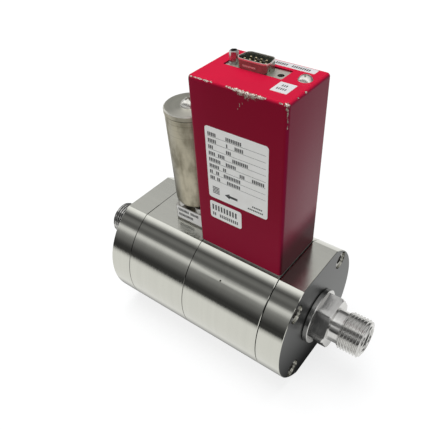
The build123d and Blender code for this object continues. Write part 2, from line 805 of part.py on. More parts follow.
with BuildPart() as connector_board:
    with BuildSketch(Plane.XY.offset(connector_board_top_z)):
        with Locations((connector_board_x, connector_board_y)):
            Rectangle(*connector_board_size)
        with Locations((connector_x, connector_y)):
            with Locations(*pin_places):
                Circle(pin_radius, mode=Mode.SUBTRACT)
    extrude(amount=-board_thickness)
connector_board.part.label = "connector_board"
export_step(connector_board.part, "parts/connector_board.step")

with BuildPart() as board_header:
    with BuildSketch(Plane.XY.offset(connector_board_top_z - board_thickness)):
        with Locations((header_x, connector_board_y)):
            Rectangle(header_size[0], header_size[1])
    extrude(amount=-header_size[2])
board_header.part.label = "board_header"
export_step(board_header.part, "parts/board_header.step")

with BuildPart() as connector_shell:
    with BuildSketch(connector_plane.offset(bracket_top_z)):
        RectangleRounded(flange_size[0], flange_size[1], flange_corner)
        with Locations((-connector_hole_pitch / 2, 0), (connector_hole_pitch / 2, 0)):
            Circle(flange_hole_radius, mode=Mode.SUBTRACT)
    extrude(amount=flange_thickness)
    with BuildSketch(connector_plane.offset(bracket_top_z)):
        draw_d_outline(plug_width, plug_height, plug_corner)
    extrude(amount=plug_top_z - bracket_top_z)
    with BuildSketch(connector_plane.offset(bracket_top_z)):
        draw_d_outline(plug_width - 2 * plug_sheet, plug_height - 2 * plug_sheet, plug_corner - plug_sheet)
    extrude(amount=plug_top_z - bracket_top_z, mode=Mode.SUBTRACT)
connector_shell.part.label = "connector_shell"
export_step(connector_shell.part, "parts/connector_shell.step")

with BuildPart() as connector_insulator:
    with BuildSketch(connector_plane.offset(bracket_top_z)):
        draw_d_outline(plug_width - 2 * plug_sheet, plug_height - 2 * plug_sheet, plug_corner - plug_sheet)
    extrude(amount=insulator_floor_z - bracket_top_z)
    with BuildSketch(connector_plane.offset(bracket_top_z)):
        Rectangle(plug_width + 2 * insulator_rim, plug_height + 2 * insulator_rim)
    extrude(amount=connector_board_top_z - bracket_top_z)
    with BuildSketch(connector_plane.offset(connector_board_top_z)):
        with Locations(*pin_places):
            Circle(pin_radius)
    extrude(amount=insulator_floor_z - connector_board_top_z, mode=Mode.SUBTRACT)
connector_insulator.part.label = "connector_insulator"
export_step(connector_insulator.part, "parts/connector_insulator.step")

with BuildPart() as connector_pins:
    with BuildSketch(connector_plane.offset(pin_bottom_z)):
        with Locations(*pin_places):
            Circle(pin_radius)
    extrude(amount=pin_top_z - pin_bottom_z)
    chamfer(connector_pins.faces().sort_by(Axis.Z)[-len(pin_places):].edges(), pin_tip_chamfer)
connector_pins.part.label = "connector_pins"
export_step(connector_pins.part, "parts/connector_pins.step")

# One hexagonal jackscrew stands on its lock washer; the hole at the other end of the flange is empty.
jackscrew_across_flats = 3.9
jackscrew_height = 5.4
jackscrew_chamfer = 0.35
jackscrew_stud_length = 5.0
jackscrew_hole_depth = 4.2
washer_thickness = 0.6
washer_radius = 2.5
jackscrew_seat_z = cover_inner_z + washer_thickness

with BuildPart() as jackscrew_washer:
    with BuildSketch(Plane.XY.offset(cover_inner_z)):
        with Locations((jackscrew_x, connector_y)):
            draw_ring(washer_radius, jackscrew_stud_radius)
    extrude(amount=washer_thickness)
jackscrew_washer.part.label = "jackscrew_washer"
export_step(jackscrew_washer.part, "parts/jackscrew_washer.step")

with BuildPart() as jackscrew:
    with BuildSketch(Plane.XY.offset(jackscrew_seat_z)):
        with Locations((jackscrew_x, connector_y)):
            RegularPolygon(jackscrew_across_flats / 2, 6, major_radius=False, rotation=30)
    extrude(amount=jackscrew_height)
    chamfer(jackscrew.faces().sort_by(Axis.Z)[-1].edges(), jackscrew_chamfer)
    with BuildSketch(Plane.XY.offset(jackscrew_seat_z)):
        with Locations((jackscrew_x, connector_y)):
            Circle(jackscrew_stud_radius)
    extrude(amount=-jackscrew_stud_length)
    with BuildSketch(Plane.XY.offset(jackscrew_seat_z + jackscrew_height)):
        with Locations((jackscrew_x, connector_y)):
            Circle(jackscrew_stud_radius)
    extrude(amount=-jackscrew_hole_depth, mode=Mode.SUBTRACT)
jackscrew.part.label = "jackscrew"
export_step(jackscrew.part, "parts/jackscrew.step")

# ---------------------------------------------------------------- cover

window_x = 17.5
window_y = 5.5
window_size = (31.0, 9.8)
window_corner = 0.6

with BuildPart() as cover:
    with BuildSketch(Plane.XY.offset(cover_bottom_z)):
        with Locations((cover_x, cover_y)):
            Rectangle(cover_size[0], cover_size[1])
    extrude(amount=cover_size[2])
    fillet(cover.edges().filter_by(Axis.Z), cover_bend)
    fillet(cover.faces().sort_by(Axis.Z)[-1].edges(), cover_bend)
    with BuildSketch(Plane.XY.offset(cover_bottom_z)):
        with Locations((cover_x, cover_y)):
            RectangleRounded(
                cover_size[0] - 2 * cover_sheet,
                cover_size[1] - 2 * cover_sheet,
                cover_bend - cover_sheet,
            )
    extrude(amount=cover_size[2] - cover_sheet, mode=Mode.SUBTRACT)
    with BuildSketch(Plane.XY.offset(cover_inner_z)):
        with Locations((window_x, window_y)):
            RectangleRounded(window_size[0], window_size[1], window_corner)
        with Locations((cover_screw_x, cover_screw_y)):
            Circle(m3_radius)
    extrude(amount=cover_sheet, mode=Mode.SUBTRACT)
cover.part.label = "cover"
export_step(cover.part, "parts/cover.step")

pan_head_radius = 3.4
pan_head_height = 2.1
pan_recess = (3.2, 0.8, 1.2)
pan_recess_turn = 20.0
cover_screw_length = 6.0

with BuildPart() as cover_screw:
    with BuildSketch(Plane.XZ.offset(-cover_screw_y)):
        draw_dome(cover_screw_x, cover_top_z, pan_head_radius, pan_head_height)
    revolve(axis=Axis((cover_screw_x, cover_screw_y, 0), (0, 0, 1)))
    with BuildSketch(Plane.XY.offset(cover_top_z)):
        with Locations((cover_screw_x, cover_screw_y)):
            Circle(m3_radius)
    extrude(amount=-cover_screw_length)
    with BuildSketch(Plane.XY.offset(cover_top_z + pan_head_height)):
        with Locations((cover_screw_x, cover_screw_y)):
            Rectangle(pan_recess[0], pan_recess[1], rotation=pan_recess_turn)
            Rectangle(pan_recess[1], pan_recess[0], rotation=pan_recess_turn)
    extrude(amount=-pan_recess[2], mode=Mode.SUBTRACT)
cover_screw.part.label = "cover_screw"
export_step(cover_screw.part, "parts/cover_screw.step")

# ---------------------------------------------------------------- control valve

diaphragm_thickness = 0.2
seat_rim_height = 0.6
seat_rim_width = 0.8
seat_crown_height = 0.45
seat_crown_width = 0.6
seat_hole_radius = 0.6
seat_hole_count = 6
diaphragm_z = seat_floor_z + seat_thickness + seat_rim_height
valve_chamber_radius = 4.4
valve_chamber_rise = 2.0
valve_chamber_top_z = flat_z + valve_chamber_rise
rod_radius = 1.6
rod_foot_radius = 2.6
rod_foot_height = 1.0
rod_clearance = 0.2
valve_base_edge = 0.5
valve_neck_radius = 4.9
neck_thread_radius = 4.0
neck_thread_rise = 3.6
rod_top_rise = 5.0
rod_top_z = can_bottom_z + rod_top_rise
stack_radius = 6.0
stack_round = 0.8
stack_top_drop = 9.0
stack_top_z = can_top_z - stack_top_drop
cap_rim_height = 2.7
cap_radius = 13.6
cap_seat_z = can_top_z - cap_rim_height

with BuildPart() as valve_seat:
    with BuildSketch(Plane.XY.offset(seat_floor_z)):
        with Locations((valve_x, 0)):
            draw_ring(seat_radius, seat_bore_radius)
            with PolarLocations((groove_outer + groove_inner) / 2, seat_hole_count):
                Circle(seat_hole_radius, mode=Mode.SUBTRACT)
    extrude(amount=seat_thickness)
    with BuildSketch(Plane.XY.offset(seat_floor_z + seat_thickness)):
        with Locations((valve_x, 0)):
            draw_ring(seat_radius, seat_radius - seat_rim_width)
    extrude(amount=seat_rim_height)
    with BuildSketch(Plane.XY.offset(seat_floor_z + seat_thickness)):
        with Locations((valve_x, 0)):
            draw_ring(seat_bore_radius + seat_crown_width, seat_bore_radius)
    extrude(amount=seat_crown_height)
valve_seat.part.label = "valve_seat"
export_step(valve_seat.part, "parts/valve_seat.step")

with BuildPart() as diaphragm:
    with BuildSketch(Plane.XY.offset(diaphragm_z)):
        with Locations((valve_x, 0)):
            Circle(seat_radius)
    extrude(amount=diaphragm_thickness)
diaphragm.part.label = "diaphragm"
export_step(diaphragm.part, "parts/diaphragm.step")

with BuildPart() as valve_base:
    with BuildSketch(Plane.XY.offset(flat_z)):
        with Locations((valve_x, 0)):
            Rectangle(valve_base_size[0], valve_base_size[1])
            with GridLocations(2 * valve_screw_x, 2 * valve_screw_y, 2, 2):
                Circle(m4_radius, mode=Mode.SUBTRACT)
    extrude(amount=valve_base_size[2])
    chamfer(valve_base.edges().filter_by(Axis.Z).filter_by(GeomType.LINE), valve_base_edge)
    with BuildSketch(Plane.XY.offset(diaphragm_z + diaphragm_thickness)):
        with Locations((valve_x, 0)):
            Circle(seat_radius)
    extrude(amount=flat_z - diaphragm_z - diaphragm_thickness)
    with BuildSketch(Plane.XY.offset(valve_base_top_z)):
        with Locations((valve_x, 0)):
            Circle(valve_neck_radius)
    extrude(amount=can_bottom_z - valve_base_top_z)
    with BuildSketch(Plane.XY.offset(can_bottom_z)):
        with Locations((valve_x, 0)):
            Circle(neck_thread_radius)
    extrude(amount=neck_thread_rise)
    with BuildSketch(Plane.XY.offset(diaphragm_z + diaphragm_thickness)):
        with Locations((valve_x, 0)):
            Circle(valve_chamber_radius)
    extrude(amount=valve_chamber_top_z - diaphragm_z - diaphragm_thickness, mode=Mode.SUBTRACT)
    with BuildSketch(Plane.XY.offset(valve_chamber_top_z)):
        with Locations((valve_x, 0)):
            Circle(rod_radius + rod_clearance)
    extrude(amount=rod_top_z - valve_chamber_top_z, mode=Mode.SUBTRACT)
valve_base.part.label = "valve_base"
export_step(valve_base.part, "parts/valve_base.step")

with BuildPart() as valve_base_screws:
    with BuildSketch(Plane.XY.offset(valve_base_top_z)):
        with Locations((valve_x, 0)):
            with GridLocations(2 * valve_screw_x, 2 * valve_screw_y, 2, 2):
                Circle(m4_head_radius)
    extrude(amount=m4_head_height)
    chamfer(valve_base_screws.faces().sort_by(Axis.Z)[-4:].edges(), m4_head_chamfer)
    with BuildSketch(Plane.XY.offset(valve_base_top_z)):
        with Locations((valve_x, 0)):
            with GridLocations(2 * valve_screw_x, 2 * valve_screw_y, 2, 2):
                Circle(m4_radius)
    extrude(amount=-valve_base_size[2] - valve_screw_depth + screw_tip_clearance)
    with BuildSketch(Plane.XY.offset(valve_base_top_z + m4_head_height)):
        with Locations((valve_x, 0)):
            with GridLocations(2 * valve_screw_x, 2 * valve_screw_y, 2, 2):
                RegularPolygon(m4_key, 6, major_radius=False)
    extrude(amount=-m4_key_depth, mode=Mode.SUBTRACT)
valve_base_screws.part.label = "valve_base_screws"
export_step(valve_base_screws.part, "parts/valve_base_screws.step")

with BuildPart() as push_rod:
    with BuildSketch(Plane.XY.offset(diaphragm_z + diaphragm_thickness)):
        with Locations((valve_x, 0)):
            Circle(rod_foot_radius)
    extrude(amount=rod_foot_height)
    with BuildSketch(Plane.XY.offset(diaphragm_z + diaphragm_thickness)):
        with Locations((valve_x, 0)):
            Circle(rod_radius)
    extrude(amount=rod_top_z - diaphragm_z - diaphragm_thickness)
push_rod.part.label = "push_rod"
export_step(push_rod.part, "parts/push_rod.step")

with BuildPart() as piezo_stack:
    with BuildSketch(Plane.XY.offset(rod_top_z)):
        with Locations((valve_x, 0)):
            Circle(stack_radius)
    extrude(amount=stack_top_z - rod_top_z)
    fillet(piezo_stack.edges().filter_by(GeomType.CIRCLE), stack_round)
piezo_stack.part.label = "piezo_stack"
export_step(piezo_stack.part, "parts/piezo_stack.step")

# The can tapers slightly from its mouth to its floor, where a nut clamps it to the valve base.
can_corner = 3.0
can_nut_radius = 6.5
can_nut_height = 2.4

with BuildPart() as actuator_can:
    with BuildSketch(Plane.XZ):
        with BuildLine():
            Polyline(
                (valve_x + neck_thread_radius, can_bottom_z),
                (valve_x + can_bottom_radius, can_bottom_z),
                (valve_x + can_top_radius, cap_seat_z),
                (valve_x + can_top_radius - can_wall, cap_seat_z),
                (valve_x + can_bottom_radius - can_wall, can_bottom_z + can_wall),
                (valve_x + neck_thread_radius, can_bottom_z + can_wall),
                close=True,
            )
        make_face()
    revolve(axis=Axis((valve_x, 0, 0), (0, 0, 1)))
    fillet(actuator_can.edges().filter_by(GeomType.CIRCLE).sort_by(Axis.Z)[1], can_corner)
actuator_can.part.label = "actuator_can"
export_step(actuator_can.part, "parts/actuator_can.step")

with BuildPart() as can_nut:
    with BuildSketch(Plane.XY.offset(can_bottom_z + can_wall)):
        with Locations((valve_x, 0)):
            RegularPolygon(can_nut_radius, 6, major_radius=False)
            Circle(neck_thread_radius, mode=Mode.SUBTRACT)
    extrude(amount=can_nut_height)
can_nut.part.label = "can_nut"
export_step(can_nut.part, "parts/can_nut.step")

cap_edge = 0.6
cap_spigot_clearance = 0.3
cap_spigot_length = 4.0
cap_screw_radius = 2.5
cap_screw_head_radius = 5.0
cap_screw_head_height = 3.3
cap_recess = (4.2, 1.0, 1.8)
cap_recess_turn = 60.0

with BuildPart() as actuator_cap:
    with BuildSketch(Plane.XY.offset(cap_seat_z)):
        with Locations((valve_x, 0)):
            Circle(cap_radius)
    extrude(amount=cap_rim_height)
    chamfer(actuator_cap.faces().sort_by(Axis.Z)[-1].edges(), cap_edge)
    with BuildSketch(Plane.XY.offset(cap_seat_z)):
        with Locations((valve_x, 0)):
            Circle(can_top_radius - can_wall - cap_spigot_clearance)
    extrude(amount=-cap_spigot_length)
    with BuildSketch(Plane.XY.offset(can_top_z)):
        with Locations((valve_x, 0)):
            Circle(cap_screw_radius)
    extrude(amount=-cap_rim_height - cap_spigot_length, mode=Mode.SUBTRACT)
actuator_cap.part.label = "actuator_cap"
export_step(actuator_cap.part, "parts/actuator_cap.step")

# The cap screw sets the preload on the piezo stack.
with BuildPart() as cap_screw:
    with BuildSketch(Plane.XZ):
        draw_dome(valve_x, can_top_z, cap_screw_head_radius, cap_screw_head_height)
    revolve(axis=Axis((valve_x, 0, 0), (0, 0, 1)))
    with BuildSketch(Plane.XY.offset(can_top_z)):
        with Locations((valve_x, 0)):
            Circle(cap_screw_radius)
    extrude(amount=stack_top_z - can_top_z)
    with BuildSketch(Plane.XY.offset(can_top_z + cap_screw_head_height)):
        with Locations((valve_x, 0)):
            Rectangle(cap_recess[0], cap_recess[1], rotation=cap_recess_turn)
            Rectangle(cap_recess[1], cap_recess[0], rotation=cap_recess_turn)
    extrude(amount=-cap_recess[2], mode=Mode.SUBTRACT)
cap_screw.part.label = "cap_screw"
export_step(cap_screw.part, "parts/cap_screw.step")

# ---------------------------------------------------------------- labels

# Each label's centre, size and corner radius in the face it is stuck on.
label_thickness = 0.12
main_label_place = (21.05, 127.45)
main_label_size = (35.3, 40.9)
main_label_corner = 1.6
inspection_label_place = (13.4, 99.0)
inspection_label_size = (19.8, 11.0)
inspection_label_corner = 1.4
zero_label_place = (37.9, -5.6)
zero_label_size = (8.1, 8.9)
calibration_strip_place = (25.3, 14.3)
calibration_strip_size = (33.8, 4.2)
top_label_corner = 0.4
valve_label_rise = 5.4
valve_label_size = (18.2, 8.6)

with BuildPart() as main_label:
    with BuildSketch(Plane.XZ.offset(-cover_front_y)):
        with Locations(main_label_place):
            RectangleRounded(*main_label_size, main_label_corner)
    extrude(amount=label_thickness)
main_label.part.label = "main_label"
export_step(main_label.part, "parts/main_label.step")

with BuildPart() as inspection_label:
    with BuildSketch(Plane.XZ.offset(-cover_front_y)):
        with Locations(inspection_label_place):
            RectangleRounded(*inspection_label_size, inspection_label_corner)
    extrude(amount=label_thickness)
inspection_label.part.label = "inspection_label"
export_step(inspection_label.part, "parts/inspection_label.step")

with BuildPart() as zero_label:
    with BuildSketch(Plane.XY.offset(cover_top_z)):
        with Locations(zero_label_place):
            RectangleRounded(*zero_label_size, top_label_corner)
    extrude(amount=label_thickness)
zero_label.part.label = "zero_label"
export_step(zero_label.part, "parts/zero_label.step")

with BuildPart() as calibration_strip:
    with BuildSketch(Plane.XY.offset(cover_top_z)):
        with Locations(calibration_strip_place):
            RectangleRounded(*calibration_strip_size, top_label_corner)
    extrude(amount=label_thickness)
calibration_strip.part.label = "calibration_strip"
export_step(calibration_strip.part, "parts/calibration_strip.step")

with BuildPart() as valve_label:
    with BuildSketch(Plane.XZ.offset(valve_base_size[1] / 2)):
        with Locations((valve_x, flat_z + valve_label_rise)):
            Rectangle(*valve_label_size)
    extrude(amount=label_thickness)
valve_label.part.label = "valve_label"
export_step(valve_label.part, "parts/valve_label.step")
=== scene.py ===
from math import radians

import bpy
import numpy as np
from mathutils import Matrix, Vector


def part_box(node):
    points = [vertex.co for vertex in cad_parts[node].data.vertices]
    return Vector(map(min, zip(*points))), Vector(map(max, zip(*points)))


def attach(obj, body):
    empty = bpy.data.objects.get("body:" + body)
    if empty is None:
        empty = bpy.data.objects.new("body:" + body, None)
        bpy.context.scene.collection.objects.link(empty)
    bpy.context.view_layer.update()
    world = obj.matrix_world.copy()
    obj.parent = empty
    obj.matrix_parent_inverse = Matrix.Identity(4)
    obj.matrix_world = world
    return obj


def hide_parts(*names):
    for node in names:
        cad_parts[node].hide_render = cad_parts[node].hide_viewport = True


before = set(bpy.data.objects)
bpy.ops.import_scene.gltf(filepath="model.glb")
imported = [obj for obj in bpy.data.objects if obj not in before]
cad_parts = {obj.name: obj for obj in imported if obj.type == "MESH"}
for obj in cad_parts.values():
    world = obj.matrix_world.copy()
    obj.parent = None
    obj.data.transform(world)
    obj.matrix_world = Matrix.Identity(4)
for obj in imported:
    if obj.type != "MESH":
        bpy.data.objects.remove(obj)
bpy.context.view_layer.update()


# ---------------------------------------------------------------- camera
# A short tele view from above the label side, a little towards the gas inlet.

eye = Vector((0.13819, -0.17326, 0.26451))
view_forward = Vector((-0.46627, 0.58291, -0.66544)).normalized()
view_right = Vector((0.80068, 0.59793, -0.03726))
view_right = (view_right - view_forward * view_right.dot(view_forward)).normalized()
view_up = (-view_forward).cross(view_right)

lens = bpy.data.cameras.new("studio_camera")
lens.sensor_width = 36.0
lens.lens = 42.29
lens.shift_x = -0.0267
lens.shift_y = 0.0415
lens.clip_start = 0.01
lens.clip_end = 20.0
camera = bpy.data.objects.new("studio_camera", lens)
turn = Matrix((view_right, view_up, -view_forward)).transposed().to_4x4()
camera.matrix_world = Matrix.Translation(eye) @ turn
bpy.context.scene.collection.objects.link(camera)
bpy.context.scene.camera = camera
bpy.context.scene.view_settings.view_transform = "Standard"


# ---------------------------------------------------------------- studio
# A white table under two soft lamps.  Polished metal sees strips of light and dark that run along
# the bar, and the white table below them.

def put(tree, kind, values=None, **settings):
    """Adds a node: settings are its properties, and values fill its inputs by name or number.
    A value that is another node's output socket is linked, any other is set."""
    added = tree.nodes.new("ShaderNode" + kind)
    for name, setting in settings.items():
        setattr(added, name, setting)
    for key, value in (values or {}).items():
        if isinstance(value, bpy.types.NodeSocket):
            tree.links.new(value, added.inputs[key])
        else:
            added.inputs[key].default_value = value
    return added


def maths(tree, operation, *values, clamp=False):
    """One Math node over its values, in their order; gives its output socket."""
    added = put(tree, "Math", dict(enumerate(values)), operation=operation, use_clamp=clamp)
    return added.outputs[0]


def times(tree, *values):
    """All the values multiplied together, in their order."""
    product = values[0]
    for value in values[1:]:
        product = maths(tree, "MULTIPLY", product, value)
    return product


def slope(tree, value, start, end, low, high):
    """low up to start, high from end on, and a straight line between them."""
    return put(tree, "MapRange", {0: value, 1: start, 2: end, 3: low, 4: high}).outputs[0]


def split(tree, vector):
    """A vector's parts, as sockets named X, Y and Z."""
    return put(tree, "SeparateXYZ", {0: vector}).outputs


def fill_ramp(ramp, stops):
    """Sets a colour ramp's stops from (place, grey) pairs."""
    while len(ramp.elements) > 1:
        ramp.elements.remove(ramp.elements[-1])
    for number, (place, grey) in enumerate(stops):
        element = ramp.elements[0] if number == 0 else ramp.elements.new(place)
        element.position = place
        element.color = (grey, grey, grey, 1.0)


def mix_shaders(tree, factor, low, high):
    """Shader node low where factor is 0, high where it is 1."""
    return put(tree, "MixShader", {0: factor, 1: low.outputs[0], 2: high.outputs[0]})


# Brightness by the angle above the horizon in front of the label side, in degrees.
studio_strips = (
    (0.0, 0.04), (4.0, 0.06), (8.0, 0.09), (13.0, 0.16), (19.0, 0.22), (25.0, 0.34),
    (30.0, 0.70), (34.0, 0.84), (37.0, 0.60), (40.0, 0.20), (44.0, 0.13), (47.0, 0.15),
    (51.0, 0.21), (55.0, 0.18), (59.0, 0.09), (63.0, 0.24), (67.0, 0.70), (71.0, 1.20),
    (76.0, 1.25), (82.0, 1.05), (100.0, 0.85), (125.0, 0.70), (138.0, 0.60), (145.0, 0.42),
    (149.0, 0.20), (158.0, 0.12), (180.0, 0.12),
)
world = bpy.data.worlds.new("studio")
bpy.context.scene.world = world
world.use_nodes = True
tree = world.node_tree
tree.nodes.clear()
ray = put(tree, "LightPath").outputs
direction = split(tree, put(tree, "TexCoord").outputs["Generated"])
ahead = times(tree, direction["Y"], -1.0)
height_angle = maths(tree, "DIVIDE", maths(tree, "ARCTAN2", direction["Z"], ahead), np.pi)
strips = put(tree, "ValToRGB", {0: height_angle})
fill_ramp(strips.color_ramp, [(angle / 180.0, shade) for angle, shade in studio_strips])
seen = maths(tree, "ADD", ray["Is Camera Ray"], ray["Is Transmission Ray"], clamp=True)
soft_fill = put(tree, "Background", {"Color": (0.94, 0.97, 1.0, 1.0), "Strength": 0.40})
white_room = put(tree, "Background", {"Color": (1.0, 1.0, 1.0, 1.0), "Strength": 1.0})
mirrored_room = put(tree, "Background", {"Color": strips.outputs[0], "Strength": 1.0})
unseen_room = mix_shaders(tree, ray["Is Glossy Ray"], soft_fill, mirrored_room)
put(tree, "OutputWorld", {"Surface": mix_shaders(tree, seen, unseen_room, white_room).outputs[0]})

table_half = 3.0
table_z = -0.0002
table_mesh = bpy.data.meshes.new("table")
table_mesh.from_pydata(
    [(-table_half, -table_half, table_z), (table_half, -table_half, table_z),
     (table_half, table_half, table_z), (-table_half, table_half, table_z)],
    [], [(0, 1, 2, 3)],
)
table = bpy.data.objects.new("table", table_mesh)
bpy.context.scene.collection.objects.link(table)
table_white = bpy.data.materials.new("table_white")
table_white.use_nodes = True
tree = table_white.node_tree
tree.nodes.clear()
ray = put(tree, "LightPath").outputs
paper = put(tree, "BsdfDiffuse", {"Color": (0.86, 0.86, 0.86, 1.0)})
glow = put(tree, "Emission", {"Color": (1.0, 1.0, 1.0, 1.0), "Strength": 1.14})
table_place = put(tree, "TexCoord").outputs["Object"]
table_xyz = split(tree, table_place)
table_reach = put(tree, "VectorMath", {0: table_place}, operation="LENGTH").outputs["Value"]
# The camera sees shaded paper mixed with a plain glow, and from 0.9 m out only the glow.
seen_paper = mix_shaders(tree, slope(tree, table_reach, 0.35, 0.9, 0.66, 1.0), paper, glow)
# Metal sees the table lit from -0.19 m on, dark beyond -0.40 m, and dark in the bar's own shade.
lit_paper = slope(tree, table_xyz["Y"], -0.40, -0.19, 0.05, 0.93)
beside_bar = slope(tree, maths(tree, "ABSOLUTE", table_xyz["Y"]), 0.024, 0.043, 0.04, 1.0)
past_ends = slope(tree, maths(tree, "ABSOLUTE", table_xyz["X"]), 0.065, 0.09, 0.0, 1.0)
lit_paper = times(tree, lit_paper, maths(tree, "MAXIMUM", beside_bar, past_ends))
mirrored_paper = put(tree, "Emission", {"Color": (1.0, 1.0, 0.985, 1.0), "Strength": lit_paper})
bounced_paper = put(tree, "Emission", {"Color": (0.93, 0.93, 0.92, 1.0), "Strength": 0.34})
shiny = maths(tree, "ADD", ray["Is Glossy Ray"], ray["Is Transmission Ray"], clamp=True)
unseen_paper = mix_shaders(tree, shiny, bounced_paper, mirrored_paper)
table_top = mix_shaders(tree, ray["Is Camera Ray"], unseen_paper, seen_paper)
from_below = put(tree, "NewGeometry").outputs["Backfacing"]
table_mix = mix_shaders(tree, from_below, table_top, put(tree, "BsdfTransparent"))
put(tree, "OutputMaterial", {"Surface": table_mix.outputs[0]})
table_mesh.materials.append(table_white)

lamp_aim = Vector((0.0, 0.0, 0.06))
# Each soft lamp's name, place, width and power in watts.
soft_lamps = (
    ("overhead_lamp", (-0.15, 0.05, 1.20), 0.9, 10.0),
    ("front_lamp", (0.10, -1.10, 0.75), 0.7, 3.2),
)
for lamp_name, place, width, power in soft_lamps:
    glow_panel = bpy.data.lights.new(lamp_name, "AREA")
    glow_panel.energy = power
    glow_panel.size = width
    lamp = bpy.data.objects.new(lamp_name, glow_panel)
    lamp.location = place
    lamp.rotation_euler = (lamp_aim - Vector(place)).to_track_quat("-Z", "Y").to_euler()
    lamp.visible_glossy = False
    bpy.context.scene.collection.objects.link(lamp)


# ---------------------------------------------------------------- body blocks
# Four blocks of 80 mm stainless bar with a ground flat on the top and bottom.  Their round sides
# and ends are turned, so the tool marks run round the bar and in rings on the ends.

bar_axis_z = 0.035721
dirty_seams_x = (-0.0468, -0.0044)
seam_dirt_reach = (0.00012, 0.0004)


def start_group(name, inputs, outputs):
    """New shader node group; inputs are (name, kind, value) and outputs (name, kind).
    Gives the group, the sockets of its input node, and its output node."""
    group = bpy.data.node_groups.new(name, "ShaderNodeTree")
    for label, kind, value in inputs:
        socket = group.interface.new_socket(label, in_out="INPUT", socket_type="NodeSocket" + kind)
        socket.default_value = value
    for label, kind in outputs:
        group.interface.new_socket(label, in_out="OUTPUT", socket_type="NodeSocket" + kind)
    return group, group.nodes.new("NodeGroupInput").outputs, group.nodes.new("NodeGroupOutput")


def use_group(tree, group, values):
    """Places a group in a tree with its own values; gives its output sockets."""
    return put(tree, "Group", values, node_tree=group).outputs


def mix_value(tree, factor, low, high):
    """low where factor is 0, high where it is 1; gives a value socket."""
    return put(tree, "Mix", {0: factor, 2: low, 3: high}, data_type="FLOAT").outputs[0]


def mix_colour(tree, factor, low, high):
    """Colour low where factor is 0, high where it is 1; gives a colour socket."""
    low, high = ((*shade, 1.0) if isinstance(shade, tuple) else shade for shade in (low, high))
    return put(tree, "Mix", {0: factor, 6: low, 7: high}, data_type="RGBA").outputs[2]


def tint(tree, colour, shade, *shares):
    """The colour mixed towards a shade by the product of the shares."""
    return mix_colour(tree, times(tree, *shares), colour, shade)


def step_up(tree, value, start, end):
    """0 below start, 1 above end, and smooth between them."""
    values = {0: value, 1: start, 2: end, 3: 0.0, 4: 1.0}
    return put(tree, "MapRange", values, interpolation_type="SMOOTHSTEP").outputs[0]


def step_down(tree, value, start, end):
    """1 below start, 0 above end, and smooth between them."""
    return maths(tree, "SUBTRACT", 1.0, step_up(tree, value, start, end))


def noise(tree, vector, scale, detail, roughness=0.5):
    """Soft noise about 0.5; scale is in lumps per metre."""
    values = {"Vector": vector, "Scale": scale, "Detail": detail, "Roughness": roughness}
    return put(tree, "TexNoise", values).outputs[0]


def relief(tree, height, strength, distance):
    """Normals bumped by a height that runs from 0 to 1 over the distance in metres."""
    values = {"Height": height, "Strength": strength, "Distance": distance}
    return put(tree, "Bump", values).outputs[0]


def face_direction(tree):
    """The parts of the direction that the surface faces."""
    return split(tree, put(tree, "NewGeometry").outputs["Normal"])


# Lines left by a tool: stretched noise, fine across the marks and long along them.
tool_marks, given, result = start_group(
    "tool_marks",
    [("Across", "Float", 0.0), ("Along", "Float", 0.0), ("Lines per Metre", "Float", 3000.0),
     ("Stretch", "Float", 0.01)],
    [("Lines", "Float"), ("Streaks", "Float")],
)
across = times(tool_marks, given["Across"], given["Lines per Metre"])
stretched = times(tool_marks, given["Lines per Metre"], given["Stretch"])
along = times(tool_marks, given["Along"], stretched)
mark_place = put(tool_marks, "CombineXYZ", {0: across, 1: along}).outputs[0]
streak_widening = {0: mark_place, 1: (0.11, 0.4, 1.0)}
streak_place = put(tool_marks, "VectorMath", streak_widening, operation="MULTIPLY").outputs[0]
for output, vector, detail in (("Lines", mark_place, 2.0), ("Streaks", streak_place, 3.0)):
    values = {"Vector": vector, "Scale": 1.0, "Detail": detail}
    lines = put(tool_marks, "TexNoise", values, noise_dimensions="2D").outputs[0]
    tool_marks.links.new(lines, result.inputs[output])

# Handling stains and dull patches: soft clouds, with a few sharper blots in them.
stains, given, result = start_group(
    "stains",
    [("Vector", "Vector", (0.0, 0.0, 0.0)), ("Size", "Float", 0.01), ("Cover", "Float", 0.5)],
    [("Cloud", "Float"), ("Blots", "Float")],
)
grain_scale = maths(stains, "DIVIDE", 1.0, given["Size"])
cloud_noise = noise(stains, given["Vector"], grain_scale, 4.0, 0.6)
blot_scale = times(stains, grain_scale, 3.1)
blot_noise = noise(stains, given["Vector"], blot_scale, 5.0, 0.7)
threshold = maths(stains, "SUBTRACT", 0.78, times(stains, given["Cover"], 0.3))
threshold_end = maths(stains, "ADD", threshold, 0.08)
stains.links.new(step_up(stains, cloud_noise, 0.35, 0.68), result.inputs["Cloud"])
stains.links.new(step_up(stains, blot_noise, threshold, threshold_end), result.inputs["Blots"])


def start_material(name, **plain):
    """New node material with a Principled shader; plain are numbers set on the shader's own
    sockets, with _ for a space.  Gives the material, its tree, its shader and its coordinates."""
    material = bpy.data.materials.new(name)
    material.use_nodes = True
    tree = material.node_tree
    shader = tree.nodes["Principled BSDF"]
    for key, value in plain.items():
        shader.inputs[key.replace("_", " ")].default_value = value
    return material, tree, shader, put(tree, "TexCoord").outputs["Object"]


def join(tree, shader, **links):
    """Links sockets to the shader's inputs, with _ for a space in an input's name."""
    for key, socket in links.items():
        tree.links.new(socket, shader.inputs[key.replace("_", " ")])


def dress(material, *names):
    """Gives the CAD nodes' material slots this material."""
    for name in names:
        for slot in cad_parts[name].material_slots:
            slot.material = material


def distance_from_line(tree, first, second):
    """The distance from a line, from the two parts of the offset across it."""
    squares = [maths(tree, "POWER", part, 2.0) for part in (first, second)]
    return maths(tree, "SQRT", maths(tree, "ADD", *squares))


